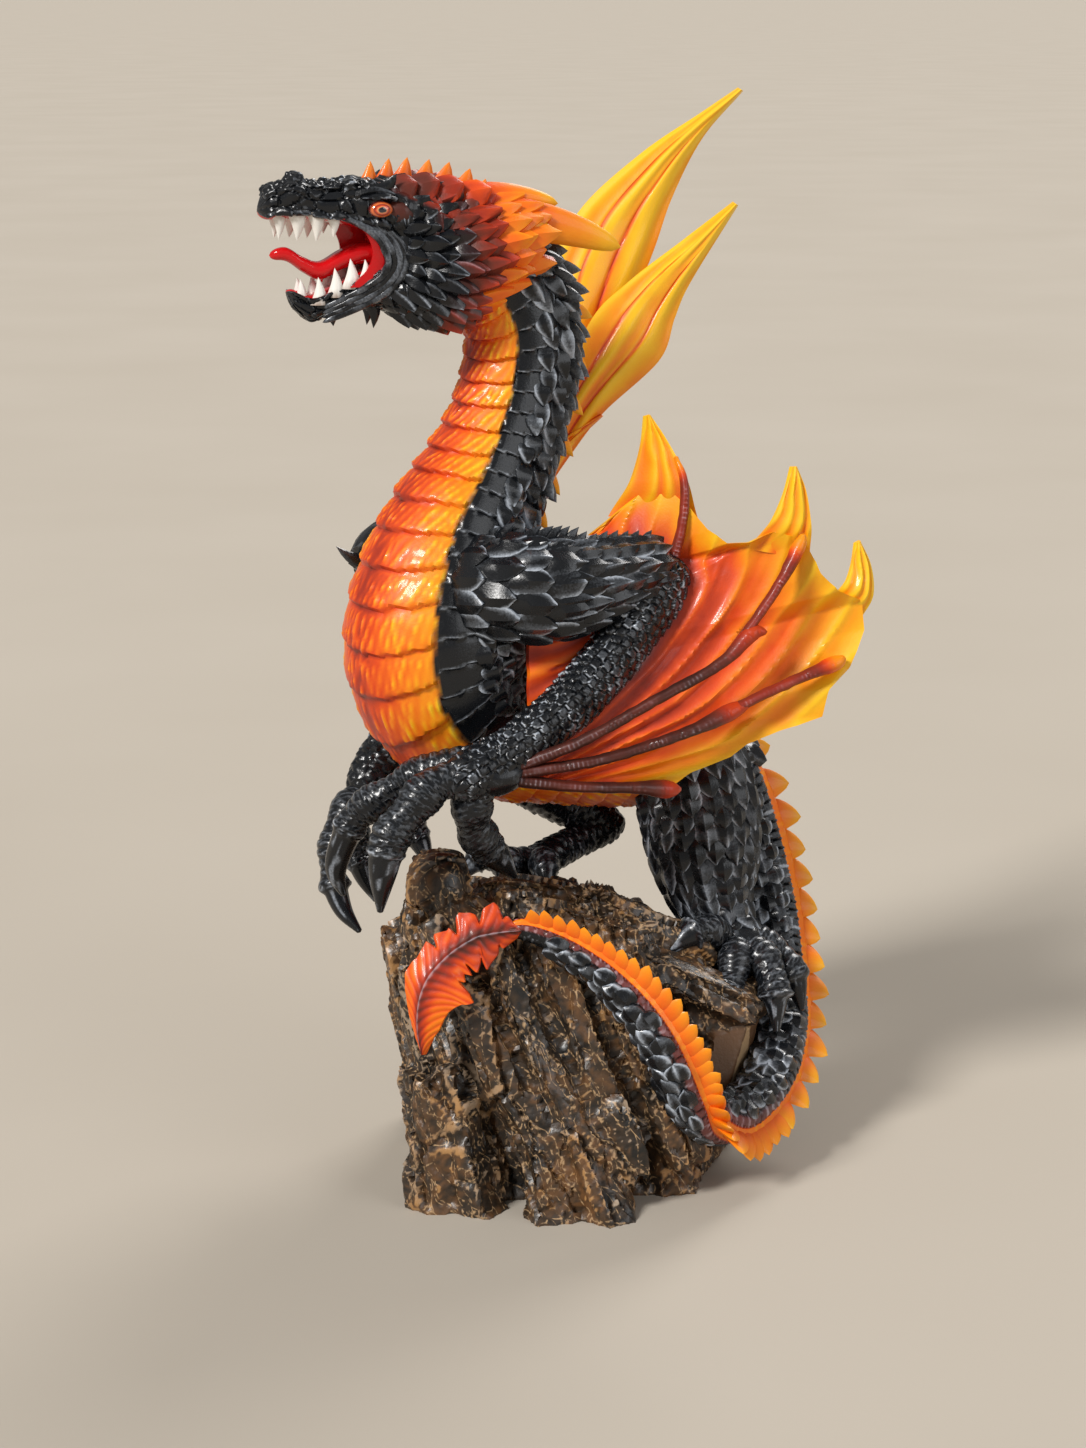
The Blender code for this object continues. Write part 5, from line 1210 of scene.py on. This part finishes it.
def face(skin):
    """Brow, nostril, horns, and lip folds round the corner of the mouth."""
    for side in (1, -1):
        for (along, left, up), radii, looks in FACE_LUMPS:
            knob(skin, head_at(along, side * left, up), radii, **looks)
        for place, size in SNOUT_LUMPS:
            knob(skin, head_at(place, side * (5.2 + (46 - place) * 0.12), 17.2), (size, size, size * 0.75),
                 seed=int(place), rough=0.35, brush=0.8)
        horns(skin, head_at(31, side * 8.2, 15.5), head_at(25.5, side * 10.2, 20.6), [HEAD_ALONG], 6.0, 4.0,
              heat=(0, 0), warm=0.0, relief=0.4)
        horns(skin, head_at(36, side * 8.2, 14.8), head_at(26, side * 11.4, 15.4), [UP], 3.6, 3.4, curl=-0.1,
              heat=(0, 0), warm=0.0, relief=0.6)
        for number in range(4):
            out = 1.55 * number
            rows = [tuple(head_at(along - out * back, side * left, up + out * rise)) + (thick, thick)
                    for along, back, up, rise, left, thick in LIP_FOLD]
            grid = Rings(Stem(rows, hint=tuple(HEAD_LEFT * side)), 84, 12)
            streak = noise2(grid.s * 0.35, np.cos(grid.angle) * 2.2 + number * 9, 14)
            points = grid.raised(0 * grid.u, rounded(grid.u, 0.06, 0.06) * (0.85 + 0.25 * streak))
            skin.tube(points, paint(streak.shape, 0.1, 0.0, 0.30 + 0.30 * smooth(streak, 0.3, 0.8)))


def mouth(skin):
    """The mouth's red lining and its corners, the tongue, and the black spines under the chin."""
    along, left, up, _, _ = jaw_grid(LINING, 40, 60, square=0.85)
    skin.tube(head_at(along, left, up), paint(along.shape, wet=1.0))
    for side, reach in ((1, 33.0), (-1, 38.5)):
        front = [(reach + ahead, up) for ahead, up in MOUTH_CORNER]
        far_edge = along_curve([tuple(head_at(a, side * 8.2, w)) for a, w in front], np.linspace(0, 1, 24))
        near_edge = along_curve([tuple(head_at(26, side * 8.8, w)) for _, w in front], np.linspace(0, 1, 24))
        share = np.linspace(0, 1, 12)[None, :, None]
        web = near_edge[:, None, :] * (1 - share) + far_edge[:, None, :] * share
        inward = HEAD_LEFT * side * (-0.7 - 0.8 * np.sin(math.pi * share))
        skin.sheet(web + HEAD_LEFT * side * 0.3, web + inward, paint((24, 12), wet=1.0))
    along, left, up, angle, t = jaw_grid(TONGUE, 90, 30, square=0.9)
    groove = 0.5 * np.exp(-(left / 1.1) ** 2) * (np.cos(angle) > 0)
    middle = head_at(along, left, up).mean(axis=1, keepdims=True)
    grooved = head_at(along, left, up - groove * (1 - t))
    skin.tube(middle + (grooved - middle) * rounded(t, 0.0, 0.06)[..., None], paint(along.shape, wet=1.0))
    for root, tip, width, thickness in CHIN_SPINES:
        horns(skin, head_at(*root), head_at(*tip), [HEAD_ALONG], width, thickness, heat=(0, 0), warm=0,
              relief=0.3)


# The head's side as one envelope: along, middle's up, half height, half width
ENVELOPE = ((-30, 1.5, 2.0, 4.0), (-17, 2.5, 5.5, 7.5), (-5, 0.8, 12.0, 12.0), (6, -2.8, 17.6, 13.4),
            (14, -2.2, 18.2, 13.0), (21, -0.6, 17.4, 12.0), (28, 1.2, 16.2, 10.8))


def envelope(along, angle, grow=0.0):
    table = vec(ENVELOPE)
    middle, high, wide = (np.interp(along, table[:, 0], table[:, k]) for k in (1, 2, 3))
    return head_at(along, (wide + grow) * np.sin(angle), middle + (high + grow) * np.cos(angle))


def ruff(skin):
    """Lapped scales from the cheek to the nape, black in front, then brown, then orange, and the crest."""
    for row, count in enumerate(RUFF_COUNTS):
        along = 27.0 - 3.6 * row
        size = 0.8 + 0.1 * row
        for side in (1, -1):
            angle = np.radians(13 + (156.0 / count) * (np.arange(count) + 0.5 * (row % 2)))
            jitter = hashed(np.arange(count), row, 111 + side)
            clear = (along < 25) | (np.abs(np.degrees(angle) - 84) > 40)
            angle, jitter = angle[clear], jitter[clear]
            root = envelope(along + 2.0 * (jitter - 0.5), angle * side, -0.6)
            reach = 6.6 * size * (0.8 + 0.5 * jitter)
            tip = envelope(along - reach, angle * side, 0.8 + 2.2 * jitter + 0.12 * row)
            out = unit(root - head_at(along, 0, -0.5))
            warmth = 14.0 - along + 6.5 * np.abs(np.cos(angle)) ** 1.5 + 6 * (jitter - 0.5)
            for k in range(len(angle)):
                share = float(np.clip(warmth[k] / 20.0, 0, 1))
                low = 0.11 + 0.42 * smooth(share, 0.42, 0.8)
                warm = float(smooth(share, 0.06, 0.3))
                plates(skin, root[k], tip[k], out[k], 4.7 * size, 1.3, lift=0.5, heat=(low, low + 0.16),
                       warm=warm, seed=row * 17 + k, keel=0.7, blunt=0.1, brush=0.7)
    for tip_a, tip_w, foot_a, foot_w, length in CREST:
        horns(skin, head_at(foot_a + 0.5, 0, foot_w - 5.0), head_at(tip_a - 1.8, 0, tip_w + 1.8),
              [HEAD_ALONG], length * 1.8, 5.0, heat=(0.36, 0.66), curl=0.1, rings=10, sides=12)
    for place, up, reach, heat in BROW_PLATES:
        for side in (1, -1):
            outward = HEAD_LEFT * side
            root = head_at(place, side * 5.0, up) + UP * 0.8 + outward * 0.6
            tip = head_at(place - reach, side * 6.4, up + 2.6) + outward
            plates(skin, root, tip, UP * 0.6 + outward, 8.4, 2.2, lift=0.8, heat=(heat, heat + 0.16),
                   warm=1.0, seed=int(place), keel=0.3, blunt=0.5, brush=0.7)
    for root_a, root_l, root_w, tip_a, tip_l, tip_w, width, heat in LOCKS:
        for side in (1, -1):
            horns(skin, head_at(root_a, side * root_l, root_w), head_at(tip_a, side * tip_l, tip_w), [UP],
                  width, 6.0, heat=(heat, 0.88), curl=-0.05, rings=18, sides=14, blunt=0.45)


def teeth(skin):
    for side in (1, -1):
        for rows, way in ((UPPER_TEETH, -1), (LOWER_TEETH, 1)):
            for a, left, w, length, radius in rows:
                root = head_at(a, side * left, w - way * 1.5)
                horns(skin, root, root + UP * way * (length + 1.5), [HEAD_ALONG], radius * 2.9, radius * 2.5,
                      curl=0.06, heat=(0, 0), warm=0, rings=10, sides=12, blunt=0.05, relief=0.8)


def eyes(skin):
    t = np.linspace(0.01, math.pi - 0.01, 48)[:, None, None]
    a = turned(40)[..., None]
    for side in (1, -1):
        centre = head_at(EYE_PLACE[0] - 0.4, side * (EYE_PLACE[1] + 2.0), EYE_PLACE[2])
        out = np.cos(t) * HEAD_LEFT * side * EYE_RADII[1]
        points = centre + out + np.sin(t) * np.cos(a) * HEAD_ALONG * EYE_RADII[0]
        points = points + np.sin(t) * np.sin(a) * UP * EYE_RADII[2]
        skin.tube(points, paint((48, 40), np.clip(t[..., 0] / 1.45, 0, 1)))


def rock():
    """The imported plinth, remeshed and broken into slanting strata."""
    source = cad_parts["rock_base"]
    copy = source.copy()
    copy.data = source.data.copy()
    bpy.context.scene.collection.objects.link(copy)
    copy.hide_render = copy.hide_viewport = False
    remesh = copy.modifiers.new("even", "REMESH")
    remesh.mode = "VOXEL"
    remesh.voxel_size = ROCK_VOXEL * MM
    bpy.context.view_layer.update()
    mesh = bpy.data.meshes.new_from_object(copy.evaluated_get(bpy.context.evaluated_depsgraph_get()))
    bpy.data.objects.remove(copy)
    p, n = (np.empty(len(mesh.vertices) * 3, np.float32) for _ in range(2))
    mesh.vertices.foreach_get("co", p)
    mesh.vertices.foreach_get("normal", n)
    p, n = p.reshape(-1, 3).astype(float) / MM, n.reshape(-1, 3).astype(float)
    off = p - vec(BOULDER[:3])
    away = np.linalg.norm(off, axis=1)
    share = smooth(p[:, 2], BOULDER[2] - 9, BOULDER[2] - 1)
    share = share * (1 - smooth(away, BOULDER[3] + 3, BOULDER[3] + 6))
    girth = BOULDER[3] + 3.0 * (noise3(off * 0.17, 43) - 0.5)
    p = p + off / away[:, None] * (share * (np.clip(away, girth - 0.5, girth + 0.5) - away))[:, None]
    warp = 10.0 * (noise3(p * 0.05, 3) - 0.5)
    turn = np.arctan2(p[:, 1] + 4, p[:, 0] - 6) / (2 * math.pi)
    beside, above = p[:, 0] - CHIP[0], p[:, 2] - CHIP[1]
    chip = (np.abs(beside - 0.2 * above) < 7) & (p[:, 1] < 14) & (np.abs(above) < 8.5)
    sliver = chip * (beside > 2.0 + 0.3 * above) * (beside < 5.5)
    height, crest = 0.2 * (noise3(p * 0.9, 21) - 0.5), np.zeros(len(p))
    for around, tall, depth, seed in STRATA:
        slope = 0.42 / (300.0 / around)
        column = turn * around + slope * p[:, 2] + warp * 0.06
        rim, near_a, near_b, tone = cells((p[:, 2] + warp) / tall, column, 0.9, seed, around=around, stretch=0.7)
        tilt = near_b * (1.4 * tone - 0.2) * 1.6 + near_a * (1 - 1.6 * tone)
        depth = depth * (1 - 0.85 * smooth(n[:, 2], 0.45, 0.8) * (around > 30))
        height = height + depth * (tilt + 0.7 * (tone - 0.7)) - 0.5 * depth * (1 - smooth(rim, 0.0, 0.10))
        proud = smooth(tilt + tone, 0.35, 0.9) * (0.6 + 0.4 * tone)
        crest = np.maximum(crest, proud * smooth(rim, 0.03, 0.09) * (1 - smooth(rim, 0.11, 0.19)))
    crack = 1 - smooth(np.abs(noise3(p * 0.55, 31) - 0.5), 0.0, 0.045)
    fine = noise3(p * 0.9, 33)
    foot = smooth(p[:, 2], 0.0, 3.0)
    height = np.clip((height - 0.25 * crack) * (1 - chip), -2.5, 1.0) * foot
    p = p + n * (height - 0.3 * foot)[:, None]
    p[:, 2] = np.maximum(p[:, 2], 0.0)
    relief = crest * (0.3 + 0.9 * fine) + 0.25 * crack * fine + 0.12 * smooth(height, 0.0, 1.0)
    mesh.vertices.foreach_set("co", (p * MM).astype(np.float32).ravel())
    set_channels(mesh, (fine, chip, np.clip(relief, 0, 1), sliver))
    mesh.materials.clear()
    place_piece("rock", mesh, ROCK, ROCK_CREASE, "rock_base")


def light(name, way, spread, strength, colour):
    lamp = bpy.data.lights.new(name, "SUN")
    lamp.angle = math.radians(spread)
    lamp.energy = strength
    lamp.color = colour
    thing = bpy.data.objects.new(name, lamp)
    tilt = math.atan2(math.hypot(way[0], way[1]), way[2])
    thing.rotation_euler = (tilt, 0, math.atan2(-way[1], -way[0]) - math.pi / 2)
    bpy.context.scene.collection.objects.link(thing)


def studio():
    scene = bpy.context.scene
    scene.view_settings.view_transform = "Standard"
    lens = bpy.data.cameras.new("camera")
    lens.sensor_fit = "VERTICAL"
    lens.sensor_height = SENSOR
    lens.lens = SENSOR * FOCAL_PIXELS / PICTURE_HEIGHT
    camera = bpy.data.objects.new("camera", lens)
    camera.location = CAMERA_PLACE
    camera.rotation_euler = (math.radians(90 - CAMERA_DOWN), 0, 0)
    scene.collection.objects.link(camera)
    scene.camera = camera
    mesh = bpy.data.meshes.new("floor")
    corners = [(FLOOR_REACH * x, FLOOR_REACH * y, 0) for x, y in ((-1, -1), (1, -1), (1, 1), (-1, 1))]
    mesh.from_pydata(corners, [], [(0, 1, 2, 3)])
    mesh.materials.append(floor_paint())
    floor = bpy.data.objects.new("floor", mesh)
    scene.collection.objects.link(floor)
    world = bpy.data.worlds.new("studio")
    world.use_nodes = True
    background = world.node_tree.nodes["Background"]
    background.inputs["Color"].default_value = WORLD_COLOUR
    background.inputs["Strength"].default_value = WORLD_STRENGTH
    scene.world = world
    for lamp in LAMPS:
        light(*lamp)


PIECES = (
    ("dragon_body", DRAGON, body), ("back_thorns", DRAGON, back_ridge), ("tail", DRAGON, tail),
    ("near_arm", DRAGON, near_arm), ("far_arm", DRAGON, far_arm), ("hind_legs", DRAGON, legs),
    ("near_wing", DRAGON, near_wing), ("wing_ribs", DRAGON, wing_ribs), ("far_wing", DRAGON, far_wing),
    ("tail_leaf", DRAGON, leaf), ("head", DRAGON, head), ("teeth", TOOTH, teeth), ("eyes", EYE, eyes),
)

studio()
for name, material, make in PIECES:
    skin = Skin()
    make(skin)
    skin.build(name, material)
rock()
